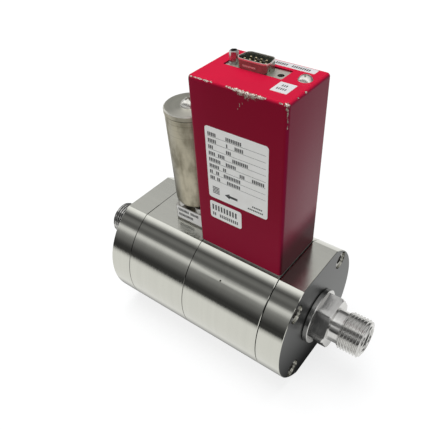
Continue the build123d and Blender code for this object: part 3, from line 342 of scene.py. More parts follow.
turned_steel, tree, shader, place = start_material("turned_steel", Metallic=1.0)
xyz = split(tree, place)
facing = face_direction(tree)
radius = distance_from_line(tree, xyz["Y"], maths(tree, "SUBTRACT", xyz["Z"], bar_axis_z))
on_end = maths(tree, "GREATER_THAN", maths(tree, "ABSOLUTE", facing["X"]), 0.8)
on_flat = maths(tree, "GREATER_THAN", maths(tree, "ABSOLUTE", facing["Z"]), 0.985)
across = mix_value(tree, on_end, mix_value(tree, on_flat, xyz["X"], xyz["Y"]), radius)
along = mix_value(tree, on_end, mix_value(tree, on_flat, xyz["Z"], xyz["X"]), xyz["Y"])
marks = use_group(
    tree, tool_marks,
    {"Across": across, "Along": along, "Lines per Metre": 2600.0, "Stretch": 0.006},
)
dull = use_group(tree, stains, {"Vector": place, "Size": 0.022, "Cover": 0.35})
colour = mix_colour(tree, marks["Streaks"], (0.595, 0.595, 0.545), (0.645, 0.645, 0.59))
colour = tint(tree, colour, (0.38, 0.37, 0.35), dull["Blots"], 0.2)
# The turned ends are painted near black: painted shade.
colour = tint(tree, colour, (0.062, 0.065, 0.070), on_end, 0.92)
for seam_x in dirty_seams_x:
    off_seam = maths(tree, "ABSOLUTE", maths(tree, "SUBTRACT", xyz["X"], seam_x))
    seam_dirt = step_down(tree, off_seam, *seam_dirt_reach)
    colour = tint(tree, colour, (0.07, 0.068, 0.06), seam_dirt, 0.85)
gloss = maths(tree, "MULTIPLY_ADD", marks["Streaks"], 0.03, mix_value(tree, on_flat, 0.025, 0.15))
gloss = maths(tree, "ADD", gloss, times(tree, dull["Cloud"], 0.03))
gloss = maths(tree, "MAXIMUM", gloss, times(tree, on_end, 0.36))
ridges = relief(tree, marks["Lines"], 0.12, 0.0003)
join(tree, shader, Base_Color=colour, Roughness=gloss, Normal=ridges)
dress(turned_steel, "outlet_end_block", "valve_block", "sensor_block", "inlet_end_block")


# ---------------------------------------------------------------- block seals, bolts and flow path
# Soft metal rings seal the blocks, and socket-head bolts of stainless steel draw them together.
# The sintered filter and the drilled flow element lie in the bore.

def plain_metal(name, light, dark, roughness, patch, grain, metallic=1.0):
    """Metal whose colour wanders between light and dark, in patches of that size, with a grain."""
    material, tree, shader, place = start_material(name, Metallic=metallic)
    wear = use_group(tree, stains, {"Vector": place, "Size": patch, "Cover": 0.4})
    speckle = noise(tree, place, grain, 3.0)
    colour = mix_colour(tree, wear["Cloud"], light, dark)
    colour = tint(tree, colour, dark, wear["Blots"], 0.4)
    gloss = maths(tree, "MULTIPLY_ADD", speckle, 0.16, roughness - 0.08)
    gloss = maths(tree, "MULTIPLY_ADD", wear["Cloud"], 0.06, gloss)
    bumps = relief(tree, speckle, 0.15, 0.0001)
    join(tree, shader, Base_Color=colour, Roughness=gloss, Normal=bumps)
    return material


seal_nickel = plain_metal(
    "seal_nickel", (0.66, 0.62, 0.55), (0.50, 0.47, 0.42), 0.35, 0.004, 9000.0,
)
dress(
    seal_nickel, "outlet_block_seal", "centre_block_seal", "inlet_block_seal", "sensor_port_seals",
)
screw_steel = plain_metal(
    "screw_steel", (0.62, 0.61, 0.59), (0.42, 0.41, 0.39), 0.26, 0.003, 6000.0,
)
dress(
    screw_steel, "inlet_tie_bolts", "outlet_end_bolts", "sensor_base_screws", "base_plate_screws",
    "bracket_screws", "cover_nut", "jackscrew_washer", "jackscrew", "valve_base_screws", "can_nut",
)
sintered_steel = plain_metal(
    "sintered_steel", (0.45, 0.44, 0.42), (0.28, 0.27, 0.26), 0.62, 0.002, 14000.0,
)
dress(sintered_steel, "inlet_filter", "laminar_flow_element")
machined_steel = plain_metal(
    "machined_steel", (0.64, 0.63, 0.61), (0.52, 0.51, 0.49), 0.24, 0.009, 4000.0,
)
dress(
    machined_steel,
    "sensor_base", "sensor_tube", "sensor_case", "valve_seat", "diaphragm", "push_rod",
)


# ---------------------------------------------------------------- gas fittings
# Turned and milled from stainless bar in one piece: a boss against the block, a hexagon for the
# spanner, a neck, a fine thread and a rounded sealing bead round the bore.

boss_start_x = 0.0622
spigot_length, spigot_radius = 0.0080, 0.0120
boss_length, boss_radius, boss_chamfer = 0.0032, 0.0165, 0.0006
hexagon_length, hexagon_half_width, hexagon_corner = 0.0090, 0.0135, 0.0156
hexagon_chamfer_length, hexagon_chamfer_depth = 0.0009, 0.0012
neck_length, neck_radius = 0.0056, 0.0095
gas_thread_length, gas_thread_radius, gas_thread_chamfer = 0.0130, 0.0111, 0.0010
gas_thread_pitch, gas_thread_depth, gas_thread_fade = 0.001814, 0.00095, 0.0012
gas_thread_steepness, gas_thread_root_cut = 1.25, 0.1
bead_path_radius, bead_radius = 0.0076, 0.0008
port_radius, port_chamfer_length, port_chamfer_depth = 0.0051, 0.0004, 0.0005
edge_break, fillet, row_gap = 0.0003, 0.0002, 0.0001
turned_row, hexagon_row, thread_row = range(3)
steps_round, thread_steps, bead_steps = 96, 150, 13


def closed_skin(name, points):
    """Mesh over a grid of points, rows by columns, whose last row and column meet its first."""
    rows, columns = points.shape[:2]
    row = np.arange(rows)[:, None]
    column = np.arange(columns)[None, :]
    next_row = (row + 1) % rows
    next_column = (column + 1) % columns
    corners = np.stack(
        [row * columns + column, row * columns + next_column,
         next_row * columns + next_column, next_row * columns + column], axis=-1,
    ).reshape(-1, 4)
    mesh = bpy.data.meshes.new(name)
    mesh.from_pydata(points.reshape(-1, 3).tolist(), [], corners.tolist())
    return mesh


def fitting_points(side):
    """Grid of a fitting's skin.  Each row is one station of the turned profile.  On the hexagon the
    radius is the half width over the cosine of the angle from the middle of the side, and on the
    thread it falls by a wave of the distance along less the turn, in pitches.  The wave is a
    triangle with its crest and root cut flat."""
    hexagon_x = boss_start_x + boss_length
    neck_x = hexagon_x + hexagon_length
    thread_x = neck_x + neck_length
    end_x = thread_x + gas_thread_length
    start_x = boss_start_x - spigot_length
    thread_start_radius = gas_thread_radius - gas_thread_chamfer
    outer = [
        (start_x, port_radius, turned_row),
        (start_x, spigot_radius, turned_row),
        (boss_start_x, spigot_radius, turned_row),
        (boss_start_x, boss_radius - boss_chamfer, turned_row),
        (boss_start_x + boss_chamfer, boss_radius, turned_row),
        (hexagon_x - edge_break, boss_radius, turned_row),
        (hexagon_x, boss_radius - edge_break, turned_row),
        (hexagon_x, hexagon_half_width + fillet, turned_row),
        (hexagon_x, hexagon_corner, hexagon_row),
        (neck_x - hexagon_chamfer_length, hexagon_corner, hexagon_row),
        (neck_x, hexagon_corner - hexagon_chamfer_depth, hexagon_row),
        (neck_x, hexagon_half_width - row_gap, turned_row),
        (neck_x, neck_radius + fillet, turned_row),
        (neck_x + edge_break, neck_radius, turned_row),
        (thread_x - fillet, neck_radius, turned_row),
        (thread_x, neck_radius + fillet, turned_row),
        (thread_x, thread_start_radius, turned_row),
    ]
    thread_stations = np.linspace(thread_x + row_gap, end_x - row_gap, thread_steps)
    inset = np.minimum(thread_stations - thread_x, end_x - thread_stations)
    thread_radii = np.minimum(gas_thread_radius, thread_start_radius + inset)
    ridged = [(x, radius, thread_row) for x, radius in zip(thread_stations, thread_radii)]
    face_rows = [
        (end_x, thread_start_radius - row_gap, turned_row),
        (end_x, bead_path_radius + bead_radius + fillet, turned_row),
    ]
    bead_turn = np.radians(np.linspace(0, 180, bead_steps))
    bead_stations = end_x + bead_radius * np.sin(bead_turn)
    bead_radii = bead_path_radius + bead_radius * np.cos(bead_turn)
    bead_rows = [(x, radius, turned_row) for x, radius in zip(bead_stations, bead_radii)]
    mouth_rows = [
        (end_x, port_radius + port_chamfer_depth, turned_row),
        (end_x - port_chamfer_length, port_radius, turned_row),
    ]
    profile = outer + ridged + face_rows + bead_rows + mouth_rows
    stations, radii, kinds = (np.array(column) for column in zip(*profile))
    turn = np.linspace(0, 2 * np.pi, steps_round, endpoint=False)[None, :]
    radii = np.repeat(radii[:, None], steps_round, axis=1)
    side_turn = np.mod(turn + np.pi / 6, np.pi / 3) - np.pi / 6
    hexagon = np.minimum(hexagon_half_width / np.cos(side_turn), radii)

    phase = np.mod(stations[:, None] / gas_thread_pitch - turn / (2 * np.pi), 1.0)
    wave = gas_thread_steepness * (1 - np.abs(2 * phase - 1)) - gas_thread_root_cut
    cut = gas_thread_depth * np.clip(wave, 0, 1)
    from_thread_end = np.minimum(stations - thread_x, end_x - stations)
    thread = radii - cut * np.clip(from_thread_end / gas_thread_fade, 0, 1)[:, None]
    kinds = kinds[:, None]
    radii = np.where(kinds == hexagon_row, hexagon, np.where(kinds == thread_row, thread, radii))
    across = radii * np.sin(turn)
    up = bar_axis_z + radii * np.cos(turn)
    along = np.repeat(side * stations[:, None], steps_round, axis=1)
    points = np.stack([along, across, up], axis=-1)
    return points if side < 0 else points[:, ::-1]


def add_piece(name, mesh, material, stands_for=()):
    """Makes an object of a mesh in the shared frame, fixed to the body.  Its faces are smooth
    between edges sharper than 35 degrees."""
    mesh.validate()
    mesh.shade_smooth()
    mesh.set_sharp_from_angle(angle=radians(35.0))
    mesh.materials.append(material)
    piece = bpy.data.objects.new(name, mesh)
    bpy.context.scene.collection.objects.link(piece)
    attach(piece, "root")
    if stands_for:
        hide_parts(*stands_for)


fitting_steel, tree, shader, place = start_material("fitting_steel", Metallic=1.0)
xyz = split(tree, place)
marks = use_group(
    tree, tool_marks,
    {"Across": xyz["X"], "Along": xyz["Z"], "Lines per Metre": 4200.0, "Stretch": 0.01},
)
dull = use_group(tree, stains, {"Vector": place, "Size": 0.008, "Cover": 0.4})
colour = mix_colour(tree, marks["Streaks"], (0.57, 0.565, 0.55), (0.70, 0.695, 0.68))
colour = tint(tree, colour, (0.34, 0.33, 0.31), dull["Blots"], 0.35)
gloss = maths(tree, "MULTIPLY_ADD", dull["Cloud"], 0.1, 0.14)
ridges = relief(tree, marks["Lines"], 0.12, 0.0002)
join(tree, shader, Base_Color=colour, Roughness=gloss, Normal=ridges)
for side, node_name in ((1, "inlet_fitting"), (-1, "outlet_fitting")):
    piece_name = node_name + "_turned"
    fitting_skin = closed_skin(piece_name, fitting_points(side))
    add_piece(piece_name, fitting_skin, fitting_steel, (node_name,))


# ---------------------------------------------------------------- bracket and boards
# The bracket and base plate are zinc-plated sheet.  The boards are green laminate with black
# moulded parts on them, and the sensor's windings are lacquered copper.

zinc_sheet = plain_metal("zinc_sheet", (0.58, 0.58, 0.57), (0.43, 0.43, 0.42), 0.38, 0.006, 3000.0)
dress(zinc_sheet, "base_plate", "inner_bracket")

board_green, tree, shader, place = start_material("board_green", Roughness=0.3, Coat_Roughness=0.15)
weave = put(tree, "TexBrick", {"Vector": place, "Scale": 900.0, "Mortar Size": 0.06, "Bias": 0.0})
tracks = put(
    tree, "TexVoronoi", {"Vector": place, "Scale": 420.0}, distance="MANHATTAN", feature="F1",
)
track_mask = step_up(tree, tracks.outputs["Distance"], 0.38, 0.42)
green = mix_colour(tree, track_mask, (0.020, 0.16, 0.065), (0.012, 0.105, 0.042))
green = tint(tree, green, (0.05, 0.20, 0.09), weave.outputs["Fac"], 0.12)
raised = relief(tree, track_mask, 0.2, 0.00005)
join(tree, shader, Base_Color=green, Normal=raised)
dress(board_green, "main_circuit_board", "connector_board")


def plain_moulding(name, light, dark, roughness, patch, grain, **plain):
    """Moulded or lacquered material: a colour that wanders slightly, over a fine moulded grain."""
    material, tree, shader, place = start_material(name, **plain)
    wear = use_group(tree, stains, {"Vector": place, "Size": patch, "Cover": 0.3})
    speckle = noise(tree, place, grain, 2.0)
    colour = mix_colour(tree, wear["Cloud"], light, dark)
    gloss = maths(tree, "MULTIPLY_ADD", speckle, 0.14, roughness - 0.07)
    bumps = relief(tree, speckle, 0.2, 0.00008)
    join(tree, shader, Base_Color=colour, Roughness=gloss, Normal=bumps)
    return material


component_black = plain_moulding(
    "component_black", (0.030, 0.030, 0.032), (0.018, 0.018, 0.019), 0.5, 0.003, 7000.0,
)
dress(component_black, "board_components", "board_header")
spacer_nylon = plain_moulding(
    "spacer_nylon", (0.60, 0.59, 0.55), (0.50, 0.49, 0.45), 0.42, 0.003, 5000.0,
)
dress(spacer_nylon, "board_spacers")
winding_copper = plain_moulding(
    "winding_copper", (0.62, 0.26, 0.11), (0.45, 0.16, 0.06), 0.3, 0.002, 12000.0, Metallic=0.9,
)
dress(winding_copper, "sensor_windings")


# ---------------------------------------------------------------- nine-way connector
# A drawn shell plated with nickel round a black moulding, with nine turned contacts.  Its flange
# lies under the cover's top, and only one of its two jackscrews is there.

shell_top_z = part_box("connector_shell")[1].z
light_strip_place = (0.0161, shell_top_z - 0.0029)
light_strip_half_size = (0.0034, 0.00038)
shell_nickel, tree, shader, place = start_material("shell_nickel", Metallic=0.85)
xyz = split(tree, place)
facing = face_direction(tree)
wear = use_group(tree, stains, {"Vector": place, "Size": 0.004, "Cover": 0.4})
speckle = noise(tree, place, 4200.0, 3.0)
on_top = step_up(tree, facing["Z"], 0.2, 0.9)
# The shell's top is painted much lighter than its sides: painted light on top, painted shade on the
# sides.
upright = mix_colour(tree, wear["Cloud"], (0.33, 0.36, 0.30), (0.25, 0.27, 0.225))
colour = mix_colour(tree, on_top, upright, (0.80, 0.76, 0.68))
# A painted highlight along the shell's top edge.
rim_highlight = step_up(tree, xyz["Z"], shell_top_z - 0.0009, shell_top_z - 0.0004)
colour = tint(tree, colour, (0.86, 0.84, 0.78), rim_highlight)
# A light, dull strip across the front face, just below the top.
light_strip = maths(tree, "LESS_THAN", facing["Y"], -0.5)
for coordinate, middle, half_size in zip((xyz["X"], xyz["Z"]), light_strip_place, light_strip_half_size):
    from_middle = maths(tree, "ABSOLUTE", maths(tree, "SUBTRACT", coordinate, middle))
    light_strip = times(tree, light_strip, maths(tree, "LESS_THAN", from_middle, half_size))
colour = tint(tree, colour, (0.88, 0.84, 0.78), light_strip, 0.8)
gloss = maths(tree, "MULTIPLY_ADD", speckle, 0.1, mix_value(tree, on_top, 0.20, 0.42))
gloss = maths(tree, "MAXIMUM", gloss, times(tree, light_strip, 0.6))
bumps = relief(tree, speckle, 0.1, 0.0001)
join(tree, shader, Base_Color=colour, Roughness=gloss, Normal=bumps)
dress(shell_nickel, "connector_shell")
insulator_black = plain_moulding(
    "insulator_black", (0.022, 0.021, 0.021), (0.012, 0.012, 0.012), 0.45, 0.004, 5000.0,
)
dress(insulator_black, "connector_insulator")
pin_gold = plain_metal("pin_gold", (0.86, 0.74, 0.50), (0.74, 0.60, 0.36), 0.22, 0.001, 9000.0)
dress(pin_gold, "connector_pins")


# ---------------------------------------------------------------- cover
# Folded steel sheet, painted crimson.  The paint is chipped to bare metal along its top front edge
# and at its corners, and lightly scratched.

# The top colour is the paint in painted light, the side colour the same paint in painted shade.
paint_top_lit = (0.60, 0.007, 0.042)
paint_side_shaded = (0.256, 0.0032, 0.024)
# A lighter tone of the paint: painted light low down, and lighter towards the left.
paint_lightened = (0.310, 0.0055, 0.036)
# A bluer tone for the end face: a painted sheen.
paint_end_sheen_tint = (0.262, 0.002, 0.040)
# Near black: painted shade at the foot of the end face.
paint_foot_shade = (0.02, 0.0, 0.001)

# A chip's edge: the distance from its middle in its own half sizes, made ragged by noise.
paint_chip, given, result = start_group(
    "paint_chip",
    [("Vector", "Vector", (0.0, 0.0, 0.0)), ("Middle", "Vector", (0.0, 0.0, 0.0)),
     ("Half Size", "Vector", (0.001, 0.001, 0.001)), ("Ragged", "Float", 0.5)],
    [("Bare", "Float"), ("Fringe", "Float")],
)
offset = given["Vector"]
for operation, name in (("SUBTRACT", "Middle"), ("DIVIDE", "Half Size")):
    values = {0: offset, 1: given[name]}
    offset = put(paint_chip, "VectorMath", values, operation=operation).outputs[0]
distance = put(paint_chip, "VectorMath", {0: offset}, operation="LENGTH").outputs["Value"]
rag_noise = noise(paint_chip, given["Vector"], 2100.0, 3.0, 0.6)
rag = times(paint_chip, maths(paint_chip, "SUBTRACT", rag_noise, 0.5), given["Ragged"], 4.0)
edge = maths(paint_chip, "ADD", distance, rag)
paint_chip.links.new(step_down(paint_chip, edge, 0.9, 1.02), result.inputs["Bare"])
paint_chip.links.new(step_down(paint_chip, edge, 1.05, 1.5), result.inputs["Fringe"])

# Middle, half size and raggedness of each chip, in millimetres.
chips = (
    ((-4.2, -16.5, 169.1), (0.8, 0.7, 1.1), 0.6),
    ((-4.6, -16.7, 167.0), (0.4, 0.5, 1.3), 0.8),
    ((-2.4, -16.5, 169.5), (1.0, 0.35, 0.35), 0.9),
    ((-0.2, -16.5, 169.5), (0.9, 0.3, 0.3), 1.0),
    ((2.2, -16.5, 169.5), (1.5, 0.35, 0.3), 0.9),
    ((5.6, -16.5, 169.4), (1.5, 0.45, 0.45), 0.9),
    ((8.4, -16.4, 169.5), (0.6, 0.25, 0.25), 1.0),
    ((18.0, -16.4, 169.4), (1.6, 0.4, 0.45), 0.9),
    ((21.0, -16.5, 169.3), (1.8, 0.6, 0.7), 0.9),
    ((24.2, -16.6, 168.9), (1.9, 0.7, 1.1), 1.0),
    ((27.2, -16.6, 168.6), (1.8, 0.6, 1.5), 1.0),
    ((30.4, -16.6, 168.8), (1.9, 0.6, 1.1), 1.0),
    ((33.6, -16.5, 169.1), (1.7, 0.5, 0.8), 0.9),
    ((35.6, -16.4, 169.4), (0.9, 0.35, 0.35), 1.0),
    ((43.6, -16.5, 169.3), (0.7, 0.35, 0.35), 1.0),
    ((46.2, -16.1, 169.1), (1.2, 0.9, 0.7), 0.7),
    ((46.6, -16.5, 167.6), (0.5, 0.5, 0.7), 1.0),
    ((46.8, -16.5, 165.3), (0.3, 0.35, 1.2), 1.0),
    ((46.9, -16.4, 162.4), (0.25, 0.3, 1.1), 1.0),
    ((46.9, -16.4, 159.4), (0.2, 0.25, 0.9), 1.0),
    ((46.9, -2.8, 169.3), (0.4, 0.8, 0.5), 0.9),
    ((46.9, -9.0, 169.4), (0.25, 0.5, 0.3), 1.0),
    ((23.6, -17.0, 163.2), (0.16, 0.3, 0.9), 0.8),
    ((25.0, -17.0, 164.2), (0.12, 0.3, 0.5), 0.8),
    ((22.6, -17.0, 161.2), (0.15, 0.3, 0.3), 0.8),
)
red_paint, tree, shader, place = start_material(
    "red_paint", Specular_IOR_Level=0.08, Coat_Roughness=0.2,
)
facing = face_direction(tree)
lit_top_share = step_up(tree, facing["Z"], 0.2, 0.95)
mottle = use_group(tree, stains, {"Vector": place, "Size": 0.03, "Cover": 0.2})
peel = noise(tree, place, 1500.0, 2.0)
xyz = split(tree, place)
cover_z = xyz["Z"]
# Lighter towards the left, and lighter low down: painted light from the bar's flat below.
lighter_left = step_down(tree, xyz["X"], -0.008, 0.014)
lit_foot = step_down(tree, cover_z, 0.085, 0.130)
lighter_share = times(tree, maths(tree, "MAXIMUM", lighter_left, lit_foot), 0.7)
end_share = step_up(tree, facing["X"], 0.3, 0.9)
colour = mix_colour(tree, lighter_share, paint_side_shaded, paint_lightened)
# The end face is tinted bluer: a painted sheen.
colour = tint(tree, colour, paint_end_sheen_tint, end_share)
# Painted shade at the foot of the end face.
colour = tint(tree, colour, paint_foot_shade, end_share, step_down(tree, cover_z, 0.083, 0.100), 0.80)
# The top is painted light.
colour = tint(tree, colour, paint_top_lit, lit_top_share)
colour = tint(tree, colour, (0.20, 0.004, 0.02), mottle["Cloud"], 0.12)
bare, chip_fringe = None, None
for middle, half_size, ragged in chips:
    chip = use_group(tree, paint_chip, {
        "Vector": place, "Middle": [0.001 * value for value in middle],
        "Half Size": [0.001 * value for value in half_size], "Ragged": ragged,
    })
    bare = chip["Bare"] if bare is None else maths(tree, "MAXIMUM", bare, chip["Bare"])
    chip_fringe = chip["Fringe"] if chip_fringe is None else maths(tree, "MAXIMUM", chip_fringe, chip["Fringe"])
# A dark fringe round each chip.
colour = tint(tree, colour, (0.06, 0.008, 0.012), chip_fringe, 0.7)
speckle = noise(tree, place, 2600.0, 2.0)
sunlit = step_up(tree, facing["Z"], 0.1, 0.8)
metal = mix_colour(tree, sunlit, (0.50, 0.40, 0.34), (0.90, 0.80, 0.70))
metal = tint(tree, metal, (0.13, 0.085, 0.07), step_up(tree, speckle, 0.52, 0.40))
colour = tint(tree, colour, metal, bare)
gloss = maths(tree, "MULTIPLY_ADD", peel, 0.12, 0.36)
# The lacquer's sheen shows where a side is seen at a slant.  It starts above the foot of painted
# shade and fades towards the top.
slanted = step_up(tree, put(tree, "LayerWeight", {"Blend": 0.5}).outputs["Facing"], 0.41, 0.62)
towards_back = maths(tree, "MULTIPLY_ADD", step_up(tree, xyz["Y"], -0.018, 0.012), 0.5, 0.5)
high_up = times(tree, step_up(tree, cover_z, 0.11, 0.17), 0.65)
sheen_height = maths(tree, "SUBTRACT", step_up(tree, cover_z, 0.090, 0.102), high_up)
no_sheen = maths(tree, "MAXIMUM", bare, lit_top_share)
coat = maths(tree, "SUBTRACT", 0.5, no_sheen, clamp=True)
coat = times(tree, slanted, towards_back, sheen_height, coat)
skin = maths(tree, "MULTIPLY_ADD", peel, 0.12, times(tree, bare, -0.6))
bumps = relief(tree, skin, 0.3, 0.0001)
join(
    tree, shader, Base_Color=colour, Roughness=gloss, Coat_Weight=coat, Normal=bumps,
    Metallic=times(tree, bare, 0.3),
)
dress(red_paint, "cover")
plated_screw = plain_metal(
    "plated_screw", (0.92, 0.91, 0.86), (0.78, 0.76, 0.70), 0.22, 0.002, 6000.0, metallic=0.92,
)
dress(plated_screw, "cover_screw", "cap_screw")


# ---------------------------------------------------------------- control valve
# A machined base holds a deep-drawn can of dull nickel, closed by a turned cap.  Years of handling
# have left the can smudged and stained.

can_mouth_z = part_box("actuator_can")[1].z
cap_middle_x = -0.0201
can_nickel, tree, shader, place = start_material("can_nickel", Metallic=1.0)
smudge_place = put(tree, "Mapping", {"Vector": place, "Scale": (1.0, 1.0, 0.45)}).outputs[0]
smudges = use_group(tree, stains, {"Vector": smudge_place, "Size": 0.007, "Cover": 0.62})
speckle = noise(tree, place, 2200.0, 3.0)
colour = mix_colour(tree, smudges["Cloud"], (0.45, 0.425, 0.345), (0.30, 0.275, 0.205))
colour = tint(tree, colour, (0.13, 0.115, 0.085), smudges["Blots"], 0.55)
can_z = split(tree, place)["Z"]
facing = face_direction(tree)
# The side towards the cover is painted lighter, less where smudged: painted light.
lit_unsmudged = maths(tree, "MULTIPLY_ADD", smudges["Cloud"], -0.4, 0.62)
colour = tint(tree, colour, (0.58, 0.53, 0.40), step_up(tree, facing["X"], -0.25, 0.15), lit_unsmudged)
# Darker low down on the left side.
low_down = step_down(tree, can_z, 0.104, 0.128)
on_left = step_down(tree, facing["X"], -0.60, 0.05)
colour = tint(tree, colour, (0.08, 0.075, 0.055), low_down, on_left, 0.8)
ring_noise = noise(tree, put(tree, "CombineXYZ", {2: can_z}).outputs[0], 1300.0, 2.0)
rings = times(tree, step_up(tree, ring_noise, 0.52, 0.66), step_up(tree, can_z, 0.112, 0.138))
colour = tint(tree, colour, (0.16, 0.15, 0.115), rings, 0.3)
# A thin band of painted shade on the can just under the cap's rim.
shade_under_cap = step_up(tree, can_z, can_mouth_z - 0.0007, can_mouth_z - 0.0004)
colour = tint(tree, colour, (0.04, 0.037, 0.03), shade_under_cap, 0.8)
gloss = maths(tree, "MULTIPLY_ADD", smudges["Cloud"], 0.16, 0.34)
gloss = maths(tree, "MULTIPLY_ADD", speckle, 0.1, gloss)
bumps = relief(tree, speckle, 0.12, 0.0001)
join(tree, shader, Base_Color=colour, Roughness=gloss, Normal=bumps)
dress(can_nickel, "actuator_can")

cap_steel, tree, shader, place = start_material("cap_steel", Metallic=1.0)
from_cap_middle = put(tree, "Mapping", {"Vector": place, "Location": (-cap_middle_x, 0.0, 0.0)})
cap_xyz = split(tree, from_cap_middle.outputs[0])
cap_radius = distance_from_line(tree, cap_xyz["X"], cap_xyz["Y"])
marks = use_group(
    tree, tool_marks,
    {"Across": cap_radius, "Along": cap_xyz["X"], "Lines per Metre": 3800.0, "Stretch": 0.004},
)
dull = use_group(tree, stains, {"Vector": place, "Size": 0.006, "Cover": 0.4})
facing = face_direction(tree)
cap_top = step_up(tree, facing["Z"], 0.9, 0.99)
not_top = maths(tree, "SUBTRACT", 1.0, cap_top)
edge_light = times(tree, step_up(tree, facing["Z"], 0.25, 0.5), not_top)
colour = mix_colour(tree, marks["Streaks"], (0.42, 0.415, 0.36), (0.58, 0.57, 0.50))
rim_colour = mix_colour(tree, dull["Cloud"], (0.50, 0.47, 0.38), (0.36, 0.335, 0.26))
colour = mix_colour(tree, cap_top, rim_colour, colour)
# The turned rings on the top catch the light in a fan towards the front and the cover.
to_cover, to_back = times(tree, cap_xyz["X"], 0.62), times(tree, cap_xyz["Y"], 0.78)
cap_front = maths(tree, "SUBTRACT", to_cover, to_back)
towards_front = maths(tree, "DIVIDE", cap_front, maths(tree, "MAXIMUM", cap_radius, 0.001))
fan = step_up(tree, towards_front, 0.35, 1.0)
colour = tint(tree, colour, (0.84, 0.82, 0.73), fan, cap_top, 0.75)
colour = tint(tree, colour, (0.92, 0.90, 0.82), edge_light)
colour = tint(tree, colour, (0.28, 0.26, 0.22), dull["Blots"], 0.4)
gloss = maths(tree, "MULTIPLY_ADD", dull["Cloud"], 0.12, 0.36)
ridges = relief(tree, marks["Lines"], 0.2, 0.0002)
join(tree, shader, Base_Color=colour, Roughness=gloss, Normal=ridges)
dress(cap_steel, "actuator_cap")
valve_base_steel = plain_metal(
    "valve_base_steel", (0.60, 0.585, 0.55), (0.42, 0.40, 0.36), 0.30, 0.005, 3500.0,
)
dress(valve_base_steel, "valve_base")
piezo_beige = plain_moulding(
    "piezo_beige", (0.56, 0.50, 0.40), (0.45, 0.40, 0.31), 0.5, 0.004, 6000.0,
)
dress(piezo_beige, "piezo_stack")


# ---------------------------------------------------------------- labels
# White stickers printed in black: ruled lines with plain bars on them, and an arrow for the flow.
# The print stands a few hundredths of a millimetre proud of each sticker.

label_white, tree, shader, place = start_material("label_white", Specular_IOR_Level=0.5)
grime = use_group(tree, stains, {"Vector": place, "Size": 0.007, "Cover": 0.35})
fibre = noise(tree, place, 4000.0, 2.0)
colour = tint(tree, (0.97, 0.965, 0.935), (0.85, 0.835, 0.79), grime["Cloud"], 0.35)
colour = tint(tree, colour, (0.55, 0.51, 0.45), grime["Blots"], 0.15)
facing = face_direction(tree)
# Stickers that face up are painted darker: painted shade.
colour = tint(tree, colour, (0.60, 0.585, 0.60), step_up(tree, facing["Z"], 0.5, 0.9), 0.8)
gloss = maths(tree, "MULTIPLY_ADD", fibre, 0.2, 0.28)
bumps = relief(tree, fibre, 0.1, 0.00005)
join(tree, shader, Base_Color=colour, Roughness=gloss, Normal=bumps)
dress(
    label_white,
    "main_label", "inspection_label", "zero_label", "calibration_strip", "valve_label",
)

label_ink = plain_moulding(
    "label_ink", (0.022, 0.022, 0.024), (0.085, 0.085, 0.085), 0.5, 0.001, 9000.0,
)
print_proud = 0.00003


def print_on(name, node_name, rectangles, arrow=()):
    """Prints rectangles on a sticker: (left, bottom, width, height) in millimetres from its lower
    left corner as it is read.  arrow holds the corners of one more outline in the same way."""
    low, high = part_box(node_name)
    upright = high.z - low.z > 0.001
    quads = np.array(rectangles, float).reshape(-1, 4) * 0.001
    left, bottom, width, height = quads.T
    right, top = left + width, bottom + height
    corners = np.stack([left, bottom, right, bottom, right, top, left, top], axis=-1).reshape(-1, 2)
    faces = [tuple(range(4 * number, 4 * number + 4)) for number in range(len(quads))]
    if arrow:
        faces.append(tuple(range(len(corners), len(corners) + len(arrow))))
        corners = np.concatenate([corners, np.array(arrow, float) * 0.001])
    flat = np.zeros((len(corners), 3))
    flat[:, 0] = low.x + corners[:, 0]
    if upright:
        flat[:, 1] = low.y - print_proud
        flat[:, 2] = low.z + corners[:, 1]
    else:
        flat[:, 1] = low.y + corners[:, 1]
        flat[:, 2] = high.z + print_proud
    mesh = bpy.data.meshes.new(name)
    mesh.from_pydata(flat.tolist(), [], faces)
    add_piece(name, mesh, label_ink)


def bar_words(spans, bottom, height, bar=0.70, gap=0.30):
    """Splits each (start, end) span of a row into plain bars, bar wide and gap apart."""
    return [
        (left, bottom, bar, height)
        for start, end in spans
        for left in np.arange(start, end - bar + 0.01, bar + gap)
    ]


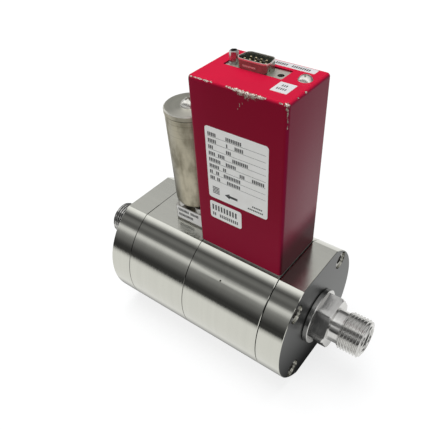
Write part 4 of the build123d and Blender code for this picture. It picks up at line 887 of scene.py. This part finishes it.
# The main label's ruled lines and the words on them, in millimetres from its lower left corner.
row_pitch, first_line = 3.5, 35.9
line_left, line_right, line_height = 1.4, 34.0, 0.16
row_spans = (
    ((1.6, 6.6), (12.0, 21.5)),
    ((1.6, 6.8), (12.2, 13.4), (17.0, 22.5)),
    ((1.6, 5.2), (12.0, 14.8)),
    ((1.6, 6.0), (7.2, 11.5), (15.5, 24.5)),
    ((1.6, 8.8), (11.6, 17.4)),
    ((1.6, 7.4), (9.8, 12.2), (19.5, 23.0), (26.5, 33.5)),
    ((1.6, 4.2), (5.4, 8.0), (10.0, 20.6)),
    ((1.6, 4.6), (5.8, 8.0), (11.8, 20.0)),
)
main_print = []
for number, spans in enumerate(row_spans):
    line_z = first_line - number * row_pitch
    main_print.append((line_left, line_z - line_height, line_right - line_left, line_height))
    main_print += bar_words(spans, line_z + 0.25, 1.9)
# At the label's foot: five short lines, the shaft of the flow arrow, and two rows of words.
main_print += [(2.6, 3.2 + 0.9 * number, 4.2, 0.5) for number in range(5)]
main_print += [(12.6, 3.85, 5.2, 1.4)]
main_print += bar_words(((24.0, 33.0),), 2.0, 0.9)
main_print += bar_words(((26.5, 33.0),), 4.0, 0.9)
flow_arrow = [(13.0, 3.0), (13.0, 6.1), (10.0, 4.55)]
print_on("main_label_print", "main_label", main_print, flow_arrow)
inspection_print = bar_words(((1.5, 18.4),), 5.6, 3.4, bar=0.95, gap=0.85)
inspection_print += bar_words(((1.6, 4.0), (6.0, 18.0)), 1.8, 2.0, bar=0.7, gap=0.5)
print_on("inspection_label_print", "inspection_label", inspection_print)
zero_print = bar_words(((2.4, 5.8),), 5.2, 1.7, bar=0.5, gap=0.5)
zero_print += bar_words(((1.5, 6.8),), 2.2, 1.7, bar=0.5, gap=0.5)
print_on("zero_label_print", "zero_label", zero_print)
strip_print = bar_words(((1.4, 7.6), (13.3, 19.4), (21.6, 31.4)), 1.1, 1.9, bar=0.6, gap=0.45)
print_on("calibration_strip_print", "calibration_strip", strip_print)
valve_print = bar_words(((1.2, 9.0), (10.4, 16.8)), 5.4, 1.8)
valve_print += bar_words(((1.2, 12.4),), 2.0, 1.8)
print_on("valve_label_print", "valve_label", valve_print)
